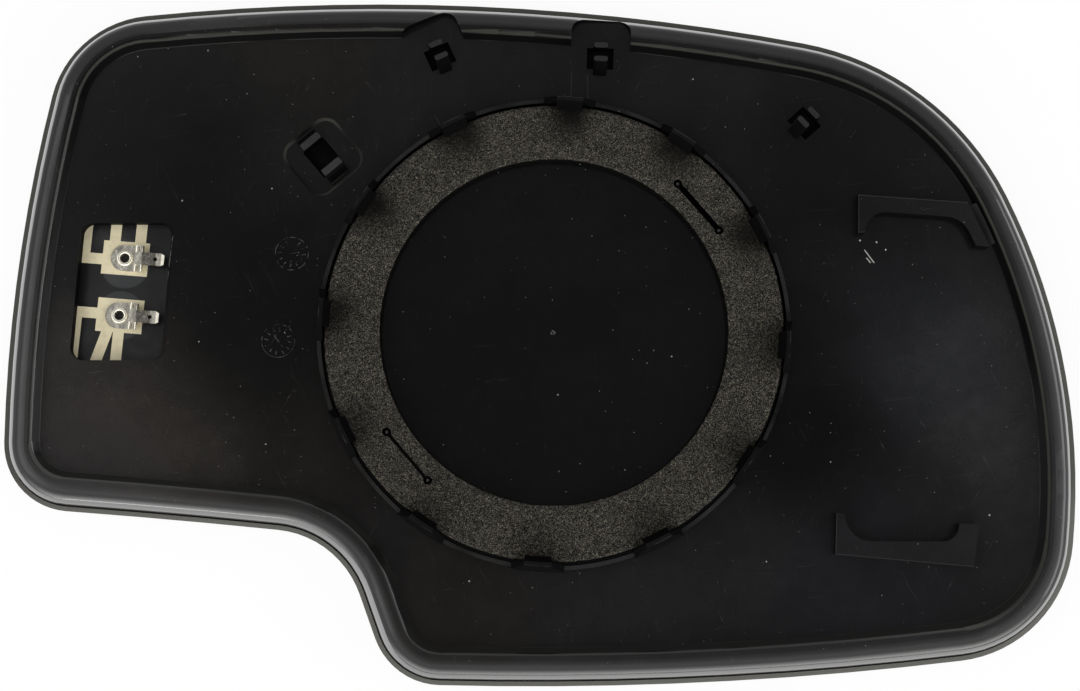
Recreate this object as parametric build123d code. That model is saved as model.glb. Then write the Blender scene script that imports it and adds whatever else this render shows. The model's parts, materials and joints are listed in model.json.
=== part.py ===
from build123d import *

import os
from math import degrees, radians, tan

# Heated door mirror glass, left hand, lying on its mirror face with the back up.
# Millimetres. The origin is below the middle of the rim's box, on the front face of the lip.
# +X runs towards the outer end of the mirror, +Y to its top edge and +Z out of the back.

# Rim outline: six corners, the outward bow of the side that leaves each corner, and each corner's radius
lower_left_corner = (-118.4, -37.7)
lower_left_radius = 15.5
lower_left_side_bow = -0.4
notch_corner = (-44.0, -44.2)
notch_radius = 21.7
notch_side_bow = 0.1
bottom_corner = (-32.3, -76.1)
bottom_radius = 15.5
bottom_side_bow = 3.3
lower_right_corner = (113.0, -68.5)
lower_right_radius = 29.0
right_side_bow = 16.3
upper_right_corner = (87.2, 61.6)
upper_right_radius = 63.0
top_side_bow = 9.2
top_left_corner = (-106.7, 71.9)
top_left_radius = 23.8
left_side_bow = 4.3

# Layers, from the mirror face to the back
lip_thickness = 1.0
glass_thickness = 2.2
film_thickness = 0.3
trace_thickness = 0.1
bond_thickness = 0.5
plate_thickness = 2.5

# Rim section, measured inwards from the outline
glass_wall = 2.2
glass_clearance = 0.2
glass_edge_chamfer = 0.4
lip_width = 4.0
lip_front_round = 0.8
film_setback = 1.0
bond_setback = 2.0
ledge_height = 4.5
ledge_width = 1.3
groove_width = 0.3
groove_depth = 0.35
bead_height = 2.7
bead_outer_round = 4.6
bead_foot_inset = 8.6
bead_wall_run = 1.3
bead_inner_round = 1.1

# Actuator seat: hoop rib, snap hooks and foam ring
seat_center = (3.25, 1.0)
hoop_inner_radius = 51.6
hoop_rib_thickness = 0.9
hoop_rib_height = 1.8
hook_count = 12
hook_phase = 86.0
hook_height = 8.5
hook_wall = 1.3
hook_base_width = 11.6
hook_top_width = 5.8
hook_lean = 1.5
hook_crown = 0.9
hook_catch_height = 4.1
hook_lip_reach = 2.2
hook_lip_nose = 0.4
foam_thickness = 3.0
foam_width = 12.55
foam_hoop_gap = 0.75
slit_angle = 40.7
slit_inset = 4.1
slit_length = 13.9
slit_width = 1.0
pin_diameter = 1.3
pin_clearance = 0.35
pin_below_foam = 0.4
pin_tip_chamfer = 0.3
gate_mark_diameter = 1.3
gate_mark_height = 0.3

# Clip sockets: one in a sunk pad, two on tongues cut through the bead, one plain
pad_clip_center = (-48.7, 40.7)
pad_clip_turn = 40.5
left_tongue_clip_center = (-22.5, 63.8)
left_tongue_clip_turn = 24.5
right_tongue_clip_center = (13.8, 63.3)
right_tongue_clip_turn = -2.0
plain_clip_center = (59.8, 48.4)
plain_clip_turn = -48.0
clip_pad_width = 14.8
clip_pad_round = 3.6
clip_pad_depth = 0.6
clip_pad_wall_run = 0.6
clip_tongue_width = 13.4
clip_tongue_round = 3.0
clip_tongue_reach = 8.6
wide_clip_hole_width = 5.7
wide_clip_hole_length = 7.3
wide_prong_width = 5.0
wide_prong_thickness = 1.6
wide_prong_height = 3.0
wide_prong_lean = 0.7
wide_prong_foot = 1.0
wide_prong_round = 0.25
slim_clip_hole_width = 6.0
slim_clip_hole_length = 4.9
slim_prong_width = 3.1
slim_prong_thickness = 1.2
slim_prong_height = 5.5
slim_prong_lean = 1.5
slim_prong_foot = 0.3
slim_prong_round = 0.5

# Flat brackets beside the outer end: back edge, two leg tips, and the corners and rounds of the arch
bracket_height = 2.6
upper_bracket_back = [(71.1, 31.6), (95.5, 29.8)]
upper_bracket_inner_tip = [(72.5, 23.0), (70.9, 22.9)]
upper_bracket_outer_tip = [(100.1, 19.7), (97.0, 20.0)]
upper_bracket_arch = [(94.1, 26.3), (72.6, 27.9)]
upper_bracket_arch_rounds = [6.0, 4.5]
lower_bracket_back = [(64.4, -48.0), (94.5, -50.7)]
lower_bracket_inner_tip = [(66.7, -39.0), (64.8, -39.0)]
lower_bracket_outer_tip = [(95.8, -41.4), (91.5, -41.3)]
lower_bracket_arch = [(91.0, -45.2), (66.4, -45.1)]
lower_bracket_arch_rounds = [3.4, 5.6]

# Connector window, with a printed pad, a riveted lug and a blade for each of two terminals
connector_turn = -4.5
window_center = (-93.3, 10.15)
window_width = 20.0
window_height = 30.9
window_lean = 1.65
window_flare = 0.3
window_round = 2.7
window_rebate_width = 0.8
window_rebate_depth = 0.7
bond_window_margin = 1.5
upper_terminal_offset = (0.0, 7.85)
lower_terminal_offset = (-0.9, -5.15)
trace_bond_gap = 0.2
upper_riser_places = [-2.75, 3.0]
upper_loop_reach = 9.3
upper_loop_rise = -0.5
lower_leg_places = [-1.5, 0.1]
lower_leg_splays = [15.0, 0.0]
lower_loop_reach = 9.7
lower_loop_rise = 0.2
trace_width = 2.45
trace_pad_length = 10.4
trace_pad_width = 7.6
lug_thickness = 0.4
lug_half_width = 2.95
lug_tail = 0.25
lug_length = 2.7
riser_height = 1.8
bridge_length = 1.4
wing_drop = 1.1
wing_slot_width = 0.3
wing_slot_length = 1.0
fold_radius = 0.24
blade_width = 2.8
blade_thickness = 0.8
blade_window_gap = 0.8
blade_tip_taper = 0.7
blade_tip_step = 0.35
blade_bevel_length = 0.6
blade_bevel_depth = 0.3
blade_hole_diameter = 0.9
blade_hole_inset = 1.9
rivet_shank_radius = 1.3
rivet_bore_radius = 1.0
rivet_head_radius = 1.8
rivet_head_height = 0.5
rivet_flare = 0.12
rivet_clearance = 0.05

# Moulding gate on the left edge
gate_tab_center_y = 8.6
gate_tab_length = 4.5
gate_tab_height = 1.6
gate_tab_reach = 0.4

# Levels and radii worked out from the sizes above
glass_bottom = lip_thickness
film_bottom = glass_bottom + glass_thickness
film_top = film_bottom + film_thickness
lug_bottom = film_top + trace_thickness
plate_bottom = film_top + bond_thickness
plate_top = plate_bottom + plate_thickness
crest = plate_top + bead_height
seat = Pos(*seat_center, plate_top)
root_sink = plate_thickness / 2
glass_inset = glass_wall + glass_clearance
foam_outer_radius = hoop_inner_radius - foam_hoop_gap
foam_inner_radius = foam_outer_radius - foam_width
slit_radius = foam_inner_radius + slit_inset
blade_reach = window_width / 2 - blade_window_gap


def bowed_side(start, end, bow):
    """One side of an outline, bowed outwards by the rise of its middle."""
    run = Vector(*end) - Vector(*start)
    if bow == 0:
        return Line(start, end)
    outwards = Vector(run.Y, -run.X).normalized()
    middle = (Vector(*start) + Vector(*end)) / 2 + outwards * bow
    return ThreePointArc(start, middle, end)


def rim_outline():
    """The outer edge of the rim: bowed sides that meet in rounded corners."""
    corners = [
        (lower_left_corner, lower_left_side_bow, lower_left_radius),
        (notch_corner, notch_side_bow, notch_radius),
        (bottom_corner, bottom_side_bow, bottom_radius),
        (lower_right_corner, right_side_bow, lower_right_radius),
        (upper_right_corner, top_side_bow, upper_right_radius),
        (top_left_corner, left_side_bow, top_left_radius),
    ]
    following = corners[1:] + corners[:1]
    sides = [bowed_side(here[0], after[0], here[1]) for here, after in zip(corners, following)]
    outline = make_face(sides)
    for point, _, radius in corners:
        corner = outline.vertices().sort_by_distance(Vector(*point))[0]
        outline = fillet(corner, radius)
    return outline


outline = rim_outline()


def arc_inset(arc, distance, face):
    """One arc of the outline, redrawn about its own centre, nearer to the middle of the face."""
    middle = arc.position_at(0.5)
    outwards = (middle - arc.arc_center).normalized()
    bulges = face.is_inside(middle - outwards * lip_thickness)
    scale = (arc.radius - distance if bulges else arc.radius + distance) / arc.radius
    points = [arc.arc_center + (arc.position_at(t) - arc.arc_center) * scale for t in (0, 0.5, 1)]
    return ThreePointArc(*points)


def inset(distance):
    """The rim outline moved inwards, or outwards where the distance is negative."""
    return make_face([arc_inset(arc, distance, outline.face()) for arc in outline.edges()])


def layer(sketch, bottom, top):
    """A sketch raised from one level to another."""
    return extrude(Pos(0, 0, bottom) * sketch, top - bottom)


def rim_and_plate():
    """The bare moulding: lip, outer wall, ledge, rolled bead and flat plate."""
    skirt = layer(outline, 0, ledge_height)
    skirt = fillet(skirt.edges().group_by(Axis.Z)[0], lip_front_round)
    bead = layer(inset(ledge_width), ledge_height, crest)
    outer_round = min(bead_outer_round, crest - ledge_height - groove_depth / 4)
    bead = fillet(bead.edges().group_by(Axis.Z)[-1], outer_round)
    foot = Pos(0, 0, plate_top) * inset(bead_foot_inset)
    brim = Pos(0, 0, crest) * inset(bead_foot_inset - bead_wall_run)
    bead -= loft([foot, brim], ruled=True)
    crest_face = bead.faces().sort_by(Axis.Z)[-1]
    bead = fillet(crest_face.inner_wires()[0].edges(), bead_inner_round)
    groove = inset(ledge_width - groove_width) - inset(ledge_width)
    body = skirt + bead - layer(groove, ledge_height - groove_depth, ledge_height)
    body -= layer(inset(glass_wall), glass_bottom, plate_bottom)
    return body - layer(inset(lip_width), 0, glass_bottom)


def sector(points, width, reach):
    """A radius and height section, turned about Z and wide enough to cover a width at a reach."""
    section = make_face(Plane.XZ * Polyline(*points, close=True))
    turn = 2 * degrees(width / reach)
    return Rot(0, 0, -turn / 2) * revolve(section, Axis.Z, turn)


def across(points, start, end):
    """A width and height section, run outwards along X."""
    return extrude(Plane.YZ.offset(start) * make_face(Polyline(*points, close=True)), end - start)


def snap_hook():
    """One hook on the X axis: a tapering wall that leans inwards, and a lip with a lead-in ramp."""
    inner = hoop_inner_radius
    outer = inner + hook_wall
    nose = inner - hook_lip_reach
    neck = inner - hook_lean * hook_catch_height / hook_height
    crown_outer = outer - hook_lean
    crown_inner = crown_outer - hook_crown
    nose_top = hook_catch_height + hook_lip_nose
    wall_points = [
        (inner, -root_sink),
        (outer, -root_sink),
        (outer, hoop_rib_height),
        (crown_outer, hook_height),
        (crown_inner, hook_height),
        (neck, hook_catch_height),
        (inner, 0),
    ]
    lip_points = [
        (neck, hook_catch_height),
        (nose, hook_catch_height),
        (nose, nose_top),
        (crown_inner, hook_height),
    ]
    base = hook_base_width / 2
    tip = hook_top_width / 2
    taper_points = [
        (-base, -root_sink),
        (base, -root_sink),
        (base, hoop_rib_height),
        (tip, hook_height),
        (-tip, hook_height),
        (-base, hoop_rib_height),
    ]
    lip_span = [(-tip, 0), (tip, 0), (tip, hook_height), (-tip, hook_height)]
    wall = sector(wall_points, hook_base_width, inner) & across(taper_points, nose, outer + hook_wall)
    lip = sector(lip_points, hook_base_width, inner) & across(lip_span, nose - hook_wall, outer)
    return wall + lip


def slit_ends():
    """The pin places at the ends of the foam's two slits, about the seat's axis."""
    half = slit_length / 2
    return [
        Rot(0, 0, slit_angle + side) * Pos(slit_radius, end, 0)
        for side in (0, 180)
        for end in (-half, half)
    ]


def actuator_seat():
    """Everything moulded around the actuator: hoop rib, hooks, foam pins and gate mark."""
    rib_outer = hoop_inner_radius + hoop_rib_thickness
    rib = Circle(rib_outer) - Circle(hoop_inner_radius)
    pieces = [layer(rib, -root_sink, hoop_rib_height)]
    hook = snap_hook()
    for place in PolarLocations(0, hook_count, start_angle=hook_phase):
        pieces.append(place * hook)
    pin_top = foam_thickness - pin_below_foam
    pin = layer(Circle(pin_diameter / 2), -root_sink, pin_top)
    pin = chamfer(pin.edges().group_by(Axis.Z)[-1], pin_tip_chamfer)
    pieces += [end * pin for end in slit_ends()]
    pieces.append(layer(Circle(gate_mark_diameter / 2), -root_sink, gate_mark_height))
    return [seat * piece for piece in pieces]


def prongs(width, thickness, height, lean, foot, corner_round, hole_length):
    """Two facing prongs along Y at the ends of a hole, leaning over it, with rounded corners."""
    inner = hole_length / 2
    points = [
        (inner, -root_sink),
        (inner + thickness + foot, -root_sink),
        (inner + thickness + foot, 0),
        (inner - lean + thickness, height),
        (inner - lean, height),
        (inner, 0),
    ]
    prong = across(points, -width / 2, width / 2)
    leaning_corners = prong.edges().group_by(Axis.Z)[-2]
    prong = fillet(leaning_corners, corner_round)
    return [prong, Rot(0, 0, 180) * prong]


def clip_place(center, turn):
    """Where a clip socket stands on the plate."""
    return Pos(*center, plate_top) * Rot(0, 0, turn)


def clip_hole(width, length):
    """A square hole right through the plate."""
    return layer(Rectangle(width, length), -plate_thickness, 0)


def tongue_clips():
    """The places of the two sockets on tongues."""
    return [
        clip_place(left_tongue_clip_center, left_tongue_clip_turn),
        clip_place(right_tongue_clip_center, right_tongue_clip_turn),
    ]


def slim_clips():
    """The places of the three sockets with slim prongs."""
    return [*tongue_clips(), clip_place(plain_clip_center, plain_clip_turn)]


def sunk_pad():
    """The shallow square recess of the wide socket, with sloping walls."""
    floor_width = clip_pad_width - 2 * clip_pad_wall_run
    floor_round = clip_pad_round - clip_pad_wall_run
    floor = Pos(0, 0, -clip_pad_depth) * RectangleRounded(floor_width, floor_width, floor_round)
    mouth = RectangleRounded(clip_pad_width, clip_pad_width, clip_pad_round)
    return loft([floor, mouth], ruled=True)


def clip_cuts():
    """Holes of all the sockets, the sunk pad, and the tongues' gaps in the bead."""
    wide = clip_place(pad_clip_center, pad_clip_turn)
    half = clip_tongue_width / 2
    tongue = RectangleRounded(clip_tongue_width, clip_tongue_reach + half, clip_tongue_round)
    tongue = Pos(0, (clip_tongue_reach - half) / 2) * tongue
    slim_hole = clip_hole(slim_clip_hole_width, slim_clip_hole_length)
    return [
        wide * sunk_pad(),
        wide * clip_hole(wide_clip_hole_width, wide_clip_hole_length),
        *[place * layer(tongue, 0, bead_height) for place in tongue_clips()],
        *[place * slim_hole for place in slim_clips()],
    ]


def clip_prongs():
    """The prongs of all four sockets."""
    wide = clip_place(pad_clip_center, pad_clip_turn)
    pair = prongs(
        wide_prong_width,
        wide_prong_thickness,
        wide_prong_height,
        wide_prong_lean,
        wide_prong_foot,
        wide_prong_round,
        wide_clip_hole_length,
    )
    placed = [wide * prong for prong in pair]
    pair = prongs(
        slim_prong_width,
        slim_prong_thickness,
        slim_prong_height,
        slim_prong_lean,
        slim_prong_foot,
        slim_prong_round,
        slim_clip_hole_length,
    )
    for place in slim_clips():
        placed += [place * prong for prong in pair]
    return placed


def bracket(back, inner_tip, outer_tip, arch, arch_rounds):
    """A flat bracket: a bar along its back edge and two legs with an arch between them."""
    face = make_face(Polyline(*back, *outer_tip, *arch, *inner_tip, close=True))
    for corner, arch_round in zip(arch, arch_rounds):
        face = fillet(face.vertices().sort_by_distance(Vector(*corner))[0], arch_round)
    return layer(face, plate_top - root_sink, plate_top + bracket_height)


def brackets():
    """Both brackets."""
    upper = bracket(
        upper_bracket_back,
        upper_bracket_inner_tip,
        upper_bracket_outer_tip,
        upper_bracket_arch,
        upper_bracket_arch_rounds,
    )
    lower = bracket(
        lower_bracket_back,
        lower_bracket_inner_tip,
        lower_bracket_outer_tip,
        lower_bracket_arch,
        lower_bracket_arch_rounds,
    )
    return [upper, lower]


def gate_tab():
    """The stub of the moulding gate on the left edge."""
    left = outline.bounding_box().min.X
    band = Pos(left, gate_tab_center_y) * Rectangle(lip_width, gate_tab_length)
    middle = ledge_height / 2
    return layer(inset(-gate_tab_reach) & band, middle - gate_tab_height / 2, middle + gate_tab_height / 2)


def window(margin=0.0):
    """The connector window's leaning outline, grown by a margin."""
    side = window_width / 2 + margin
    rise = window_height / 2 + margin
    lean = window_lean * rise / window_height
    flared = side + window_flare
    points = [(lean + side, rise), (lean - side, rise), (-lean - flared, -rise), (side - lean, -rise)]
    quad = make_face(Polyline(*points, close=True))
    return Pos(*window_center) * fillet(quad.vertices(), window_round + margin)


def backing_plate():
    """The whole black moulding."""
    body = rim_and_plate()
    rebate = Pos(window_rebate_width, 0) * window()
    body -= layer(window(), plate_bottom, plate_top)
    body -= layer(rebate, plate_top - window_rebate_depth, plate_top)
    body -= clip_cuts()
    return body + [*actuator_seat(), *clip_prongs(), *brackets(), gate_tab()]


def terminal_place(offset, level):
    """Where a terminal's rivet axis meets a level."""
    return Pos(*window_center, level) * Pos(*offset) * Rot(0, 0, connector_turn)


def strip(start, end):
    """A straight printed strip between two points."""
    return trace(Line(start, end), trace_width)


def loop_strips(reach, rise, run):
    """A strip that leaves the pad to the left and turns along the window's edge."""
    return [strip((-reach - trace_width / 2, rise), (0, rise)), strip((-reach, rise), (-reach, run))]


def upper_print():
    """Pad, two strips that run up, and a loop."""
    pad = Rectangle(trace_pad_length, trace_pad_width)
    risers = [strip((place, 0), (place, window_height)) for place in upper_riser_places]
    return pad + risers + loop_strips(upper_loop_reach, upper_loop_rise, window_height)


def lower_print():
    """Pad, two legs that run down, one of them splayed, and a loop."""
    pad = Rectangle(trace_pad_length, trace_pad_width)
    legs = [
        strip((place, 0), (place - window_height * tan(radians(splay)), -window_height))
        for place, splay in zip(lower_leg_places, lower_leg_splays)
    ]
    return pad + legs + loop_strips(lower_loop_reach, lower_loop_rise, -window_height)


def printed_trace(sketch, offset):
    """A printed conductor on the film, cut off under the plate and pierced by its rivet."""
    place = terminal_place(offset, 0)
    flat = (place * sketch) & window(bond_window_margin - trace_bond_gap)
    flat -= place * Circle(rivet_shank_radius + rivet_clearance)
    return layer(flat, film_top, lug_bottom)


def rivet_holes():
    """Both rivet holes through the film."""
    hole = layer(Circle(rivet_shank_radius + rivet_clearance), 0, film_thickness)
    offsets = (upper_terminal_offset, lower_terminal_offset)
    return [terminal_place(offset, film_bottom) * hole for offset in offsets]


def terminal():
    """A tinned terminal: round-ended lug, folded bridge with two wings, and a blade."""
    half = lug_half_width
    round_end = Pos(-lug_tail, 0) * Circle(half)
    square_end = Pos((lug_length - lug_tail) / 2, 0) * Rectangle(lug_length + lug_tail, 2 * half)
    lug = round_end + square_end - Circle(rivet_shank_radius + rivet_clearance)
    body = layer(lug, 0, lug_thickness)
    low = lug_thickness / 2
    far = lug_length + bridge_length
    fold_line = FilletPolyline(
        (lug_length - lug_thickness, low),
        (lug_length, low),
        (lug_length, riser_height),
        (far, riser_height),
        (far, riser_height - wing_drop),
        radius=fold_radius,
    )
    fold = extrude(Plane.XZ * trace(fold_line, lug_thickness), half, both=True)
    notch = Pos(far, 0, 0) * Box(2 * lug_thickness, blade_width, 2 * (riser_height - low))
    tip = blade_reach - blade_tip_taper
    edge = blade_width / 2
    blade_points = [
        (lug_length, -edge),
        (tip, -edge),
        (blade_reach, -edge + blade_tip_step),
        (blade_reach, edge - blade_tip_step),
        (tip, edge),
        (lug_length, edge),
    ]
    blade = make_face(Polyline(*blade_points, close=True))
    blade -= Pos(blade_reach - blade_hole_inset, 0) * Circle(blade_hole_diameter / 2)
    half_blade = blade_thickness / 2
    blade = layer(blade, riser_height - half_blade, riser_height + half_blade)
    tip_face = blade.faces().sort_by(Axis.X)[-1]
    tip_edges = tip_face.edges().filter_by(Axis.Y)
    blade = chamfer(tip_edges, blade_bevel_depth, blade_bevel_length, reference=tip_face)
    bridge_middle = Pos(lug_length + bridge_length / 2, 0, riser_height)
    slot = Box(wing_slot_width, wing_slot_length, 2 * lug_thickness)
    fold -= [bridge_middle * place * slot for place in GridLocations(0, half + edge, 1, 2)]
    return body + (fold - notch) + blade


def rivet():
    """A tubular eyelet: shank through film, print and lug, with a rolled head."""
    shank = film_thickness + trace_thickness + lug_thickness
    rolled = shank + rivet_head_height
    flare = shank + rivet_flare
    crown = (rivet_bore_radius + rivet_head_radius) / 2
    edges = [
        Polyline(
            (rivet_bore_radius, flare),
            (rivet_bore_radius, 0),
            (rivet_shank_radius, 0),
            (rivet_shank_radius, shank),
            (rivet_head_radius, shank),
        ),
        ThreePointArc((rivet_head_radius, shank), (crown, rolled), (rivet_bore_radius, flare)),
    ]
    return revolve(Plane.XZ * make_face(edges), Axis.Z)


def foam_ring():
    """The foam ring, with two dumb-bell slits over the locating pins."""
    ring = Circle(foam_outer_radius) - Circle(foam_inner_radius)
    slit = Pos(slit_radius, 0) * Rectangle(slit_width, slit_length)
    ring -= [Rot(0, 0, slit_angle + side) * slit for side in (0, 180)]
    eye = Circle(pin_diameter / 2 + pin_clearance)
    ring -= [end * eye for end in slit_ends()]
    return seat * layer(ring, 0, foam_thickness)


def mirror_glass():
    """The glass, with its edges ground."""
    glass = layer(inset(glass_inset), glass_bottom, film_bottom)
    rims = glass.edges().group_by(Axis.Z)
    return chamfer(rims[0] + rims[-1], glass_edge_chamfer)


def heater_film():
    """The film on the back of the glass, pierced by both rivets."""
    return layer(inset(glass_inset + film_setback), film_bottom, film_top) - rivet_holes()


def bonding_sheet():
    """The sheet between film and plate, open around the window."""
    sheet = inset(glass_inset + bond_setback) - window(bond_window_margin)
    return layer(sheet, film_top, plate_bottom)


pieces = {
    "backing_plate": backing_plate(),
    "mirror_glass": mirror_glass(),
    "heater_film": heater_film(),
    "bonding_sheet": bonding_sheet(),
    "foam_ring": foam_ring(),
    "upper_trace": printed_trace(upper_print(), upper_terminal_offset),
    "lower_trace": printed_trace(lower_print(), lower_terminal_offset),
    "upper_terminal": terminal_place(upper_terminal_offset, lug_bottom) * terminal(),
    "lower_terminal": terminal_place(lower_terminal_offset, lug_bottom) * terminal(),
    "upper_rivet": terminal_place(upper_terminal_offset, film_bottom) * rivet(),
    "lower_rivet": terminal_place(lower_terminal_offset, film_bottom) * rivet(),
}

os.makedirs("parts", exist_ok=True)
for name, shape in pieces.items():
    export_step(shape, f"parts/{name}.step")
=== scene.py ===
"""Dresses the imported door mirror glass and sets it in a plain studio, back up, as it is photographed."""

import json
import logging
import math
from dataclasses import dataclass
from enum import Enum
from functools import reduce
from operator import mul, or_
from typing import Any, Callable, Mapping, Sequence, Union

import bpy
from mathutils import Matrix, Vector


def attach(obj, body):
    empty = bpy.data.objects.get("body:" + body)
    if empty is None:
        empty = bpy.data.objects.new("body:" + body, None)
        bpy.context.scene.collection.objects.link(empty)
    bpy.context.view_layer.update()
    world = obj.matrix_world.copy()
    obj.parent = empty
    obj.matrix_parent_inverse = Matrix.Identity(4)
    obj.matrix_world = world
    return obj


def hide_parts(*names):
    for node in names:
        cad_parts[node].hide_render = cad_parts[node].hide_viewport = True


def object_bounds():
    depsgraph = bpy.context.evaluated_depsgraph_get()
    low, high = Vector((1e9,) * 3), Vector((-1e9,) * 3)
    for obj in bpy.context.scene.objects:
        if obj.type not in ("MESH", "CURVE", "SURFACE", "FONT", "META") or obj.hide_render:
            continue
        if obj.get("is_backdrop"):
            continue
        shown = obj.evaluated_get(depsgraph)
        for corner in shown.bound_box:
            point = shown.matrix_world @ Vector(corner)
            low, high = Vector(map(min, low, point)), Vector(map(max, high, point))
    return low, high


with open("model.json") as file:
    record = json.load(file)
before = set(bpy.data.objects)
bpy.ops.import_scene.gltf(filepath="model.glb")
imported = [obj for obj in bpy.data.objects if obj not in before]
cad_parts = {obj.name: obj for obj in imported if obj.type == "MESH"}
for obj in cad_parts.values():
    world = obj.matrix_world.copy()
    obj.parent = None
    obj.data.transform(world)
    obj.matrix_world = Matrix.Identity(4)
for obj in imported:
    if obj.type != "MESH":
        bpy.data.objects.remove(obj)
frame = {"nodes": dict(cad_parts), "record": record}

Colour = tuple[float, float, float, float]
Pair = tuple[float, float]
Point = Pair
Line = tuple[Point, Point]
Number = Union[int, float]

MM = 0.001
ROOT = "root"
WHITE: Colour = (1.0, 1.0, 1.0, 1.0)
SMOOTH_UP_TO = math.radians(30)
POWER_PER_RADIANCE = 4.0

# Where masks come and go: parts of a normal, then shares of a reach or a width
FLAT = 0.9
FACING_UP: Pair = (FLAT, 0.99)
LEANING_OUT: Pair = (0.0, 10.0)
NEAR_EDGE = 0.93
LINE_EDGE: Pair = (0.65, 0.2)

# Places and reaches on the plate, in millimetres
RIVETS: tuple[Point, Point] = ((-93.3, 16.75), (-94.2, 5.0))
DIALS: tuple[Point, Point] = ((-55.3, 18.6), (-58.0, -1.0))
PAD_REACH = 11.0
HOOK_REACH: Pair = (54.0, 55.0)
FOAM_BORE = 38.3
SHELTERED_FROM = 35.3
BOX_MARGIN = 1.0

log = logging.getLogger("door_mirror_glass")


class Slot(Enum):
    """The record's material slots that new pieces take their finish from."""

    BLACK_MOULDING = "black_moulding"
    FOAM = "foam"


class Level(float, Enum):
    """Heights above the table, in millimetres, of faces that finishes and new pieces go by."""

    PLATE = 6.5
    RIB = 8.3
    PIN_TIP = 9.1
    CREST = 9.2
    WIDE_PRONG = 9.5
    HOOK_CROWN = 15.0


def mount_place(name: str) -> Point:
    """Finds where a mount of the record stands.

    Args:
        name: the mount's name in the record.

    Returns:
        Its x and y, in millimetres.
    """
    for mount in frame["record"]["mounts"]:
        if mount["name"] == name:
            return (mount["pos_m"][0] / MM, mount["pos_m"][1] / MM)
    raise KeyError(name)


HUB = mount_place("actuator_snap_ring")
PAD_CLIP = mount_place("pad_clip")
CLIPS = [PAD_CLIP, *map(mount_place, ("left_tongue_clip", "right_tongue_clip", "plain_clip"))]


class Value:
    """A number that varies over a surface; arithmetic on it adds Math nodes."""

    def __init__(self, sheet: "NodeSheet", socket: bpy.types.NodeSocket) -> None:
        """Wraps an output socket of a node sheet."""
        self.sheet = sheet
        self.socket = socket

    def math(self, operation: str, first: Any, second: Any = 0.0) -> "Value":
        """Adds one Math node with that operation and those operands."""
        node = self.sheet.node("ShaderNodeMath", {"operation": operation}, {0: first, 1: second})
        return Value(self.sheet, node.outputs[0])

    def __add__(self, other: Any) -> "Value":
        """Adds a value or a number."""
        return self.math("ADD", self, other)

    def __radd__(self, other: Number) -> "Value":
        """Adds to a number."""
        return self.math("ADD", other, self)

    def __sub__(self, other: Any) -> "Value":
        """Takes a value or a number away."""
        return self.math("SUBTRACT", self, other)

    def __rsub__(self, other: Number) -> "Value":
        """Is taken away from a number."""
        return self.math("SUBTRACT", other, self)

    def __mul__(self, other: Any) -> "Value":
        """Multiplies by a value or a number."""
        return self.math("MULTIPLY", self, other)

    def __rmul__(self, other: Number) -> "Value":
        """Multiplies a number."""
        return self.math("MULTIPLY", other, self)

    def __or__(self, other: Any) -> "Value":
        """Takes the larger of two masks."""
        return self.math("MAXIMUM", self, other)

    def __ror__(self, other: Number) -> "Value":
        """Takes the larger of a number and the mask."""
        return self.math("MAXIMUM", other, self)

    def __abs__(self) -> "Value":
        """Drops the sign."""
        return self.math("ABSOLUTE", self)

    def root(self) -> "Value":
        """Takes the square root."""
        return self.math("SQRT", self)

    def bearing(self, across: "Value") -> "Value":
        """Gives the direction, in degrees, of a point that lies this far along y and that far along x."""
        return self.math("ARCTAN2", self, across) * math.degrees(1.0)

    def wrap(self, step: float) -> "Value":
        """Folds the value into a repeat from zero to a step."""
        return self.math("FLOORED_MODULO", self, step)

    def rise(self, low: float, high: float) -> "Value":
        """Climbs smoothly from 0 to 1 between two levels; with low above high it falls.

        Args:
            low: the level at which it is 0.
            high: the level at which it is 1.

        Returns:
            The mask.
        """
        settings = {"interpolation_type": "SMOOTHSTEP"}
        node = self.sheet.node("ShaderNodeMapRange", settings, {0: self, 1: low, 2: high, 3: 0.0, 4: 1.0})
        return Value(self.sheet, node.outputs[0])

    def between(self, climb: Pair, fall: Pair) -> "Value":
        """Climbs from 0 to 1 over one pair of levels and falls back over another."""
        return self.rise(*climb) * self.rise(*fall)

    def band(self, low: float, high: float, soft: float) -> "Value":
        """Masks a range that fades over a soft margin outside either end."""
        return self.between((low - soft, low), (high + soft, high))

    def span(self, low: float, high: float) -> "Value":
        """Turns a mask from 0 to 1 into a range."""
        return self * (high - low) + low


@dataclass(frozen=True)
class Clouds:
    """A cloudy pattern, in millimetres.

    It has a size, a number of finer layers and their strength. Levels are what is taken for 0 and 1, share is
    the range that those then give, and turn and stretch are of its own axes.
    """

    size: float
    detail: float = 2.0
    rough: float = 0.5
    levels: Pair | None = None
    share: Pair | None = None
    turn: float = 0.0
    stretch: tuple[float, float, float] | None = None


@dataclass(frozen=True)
class Scatter:
    """Specks in millimetres: the cell each lies in, its soft edge, which cells have one and how they vary."""

    cell: float
    edge: Pair
    kept: Pair
    varied: float = 0.0


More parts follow.
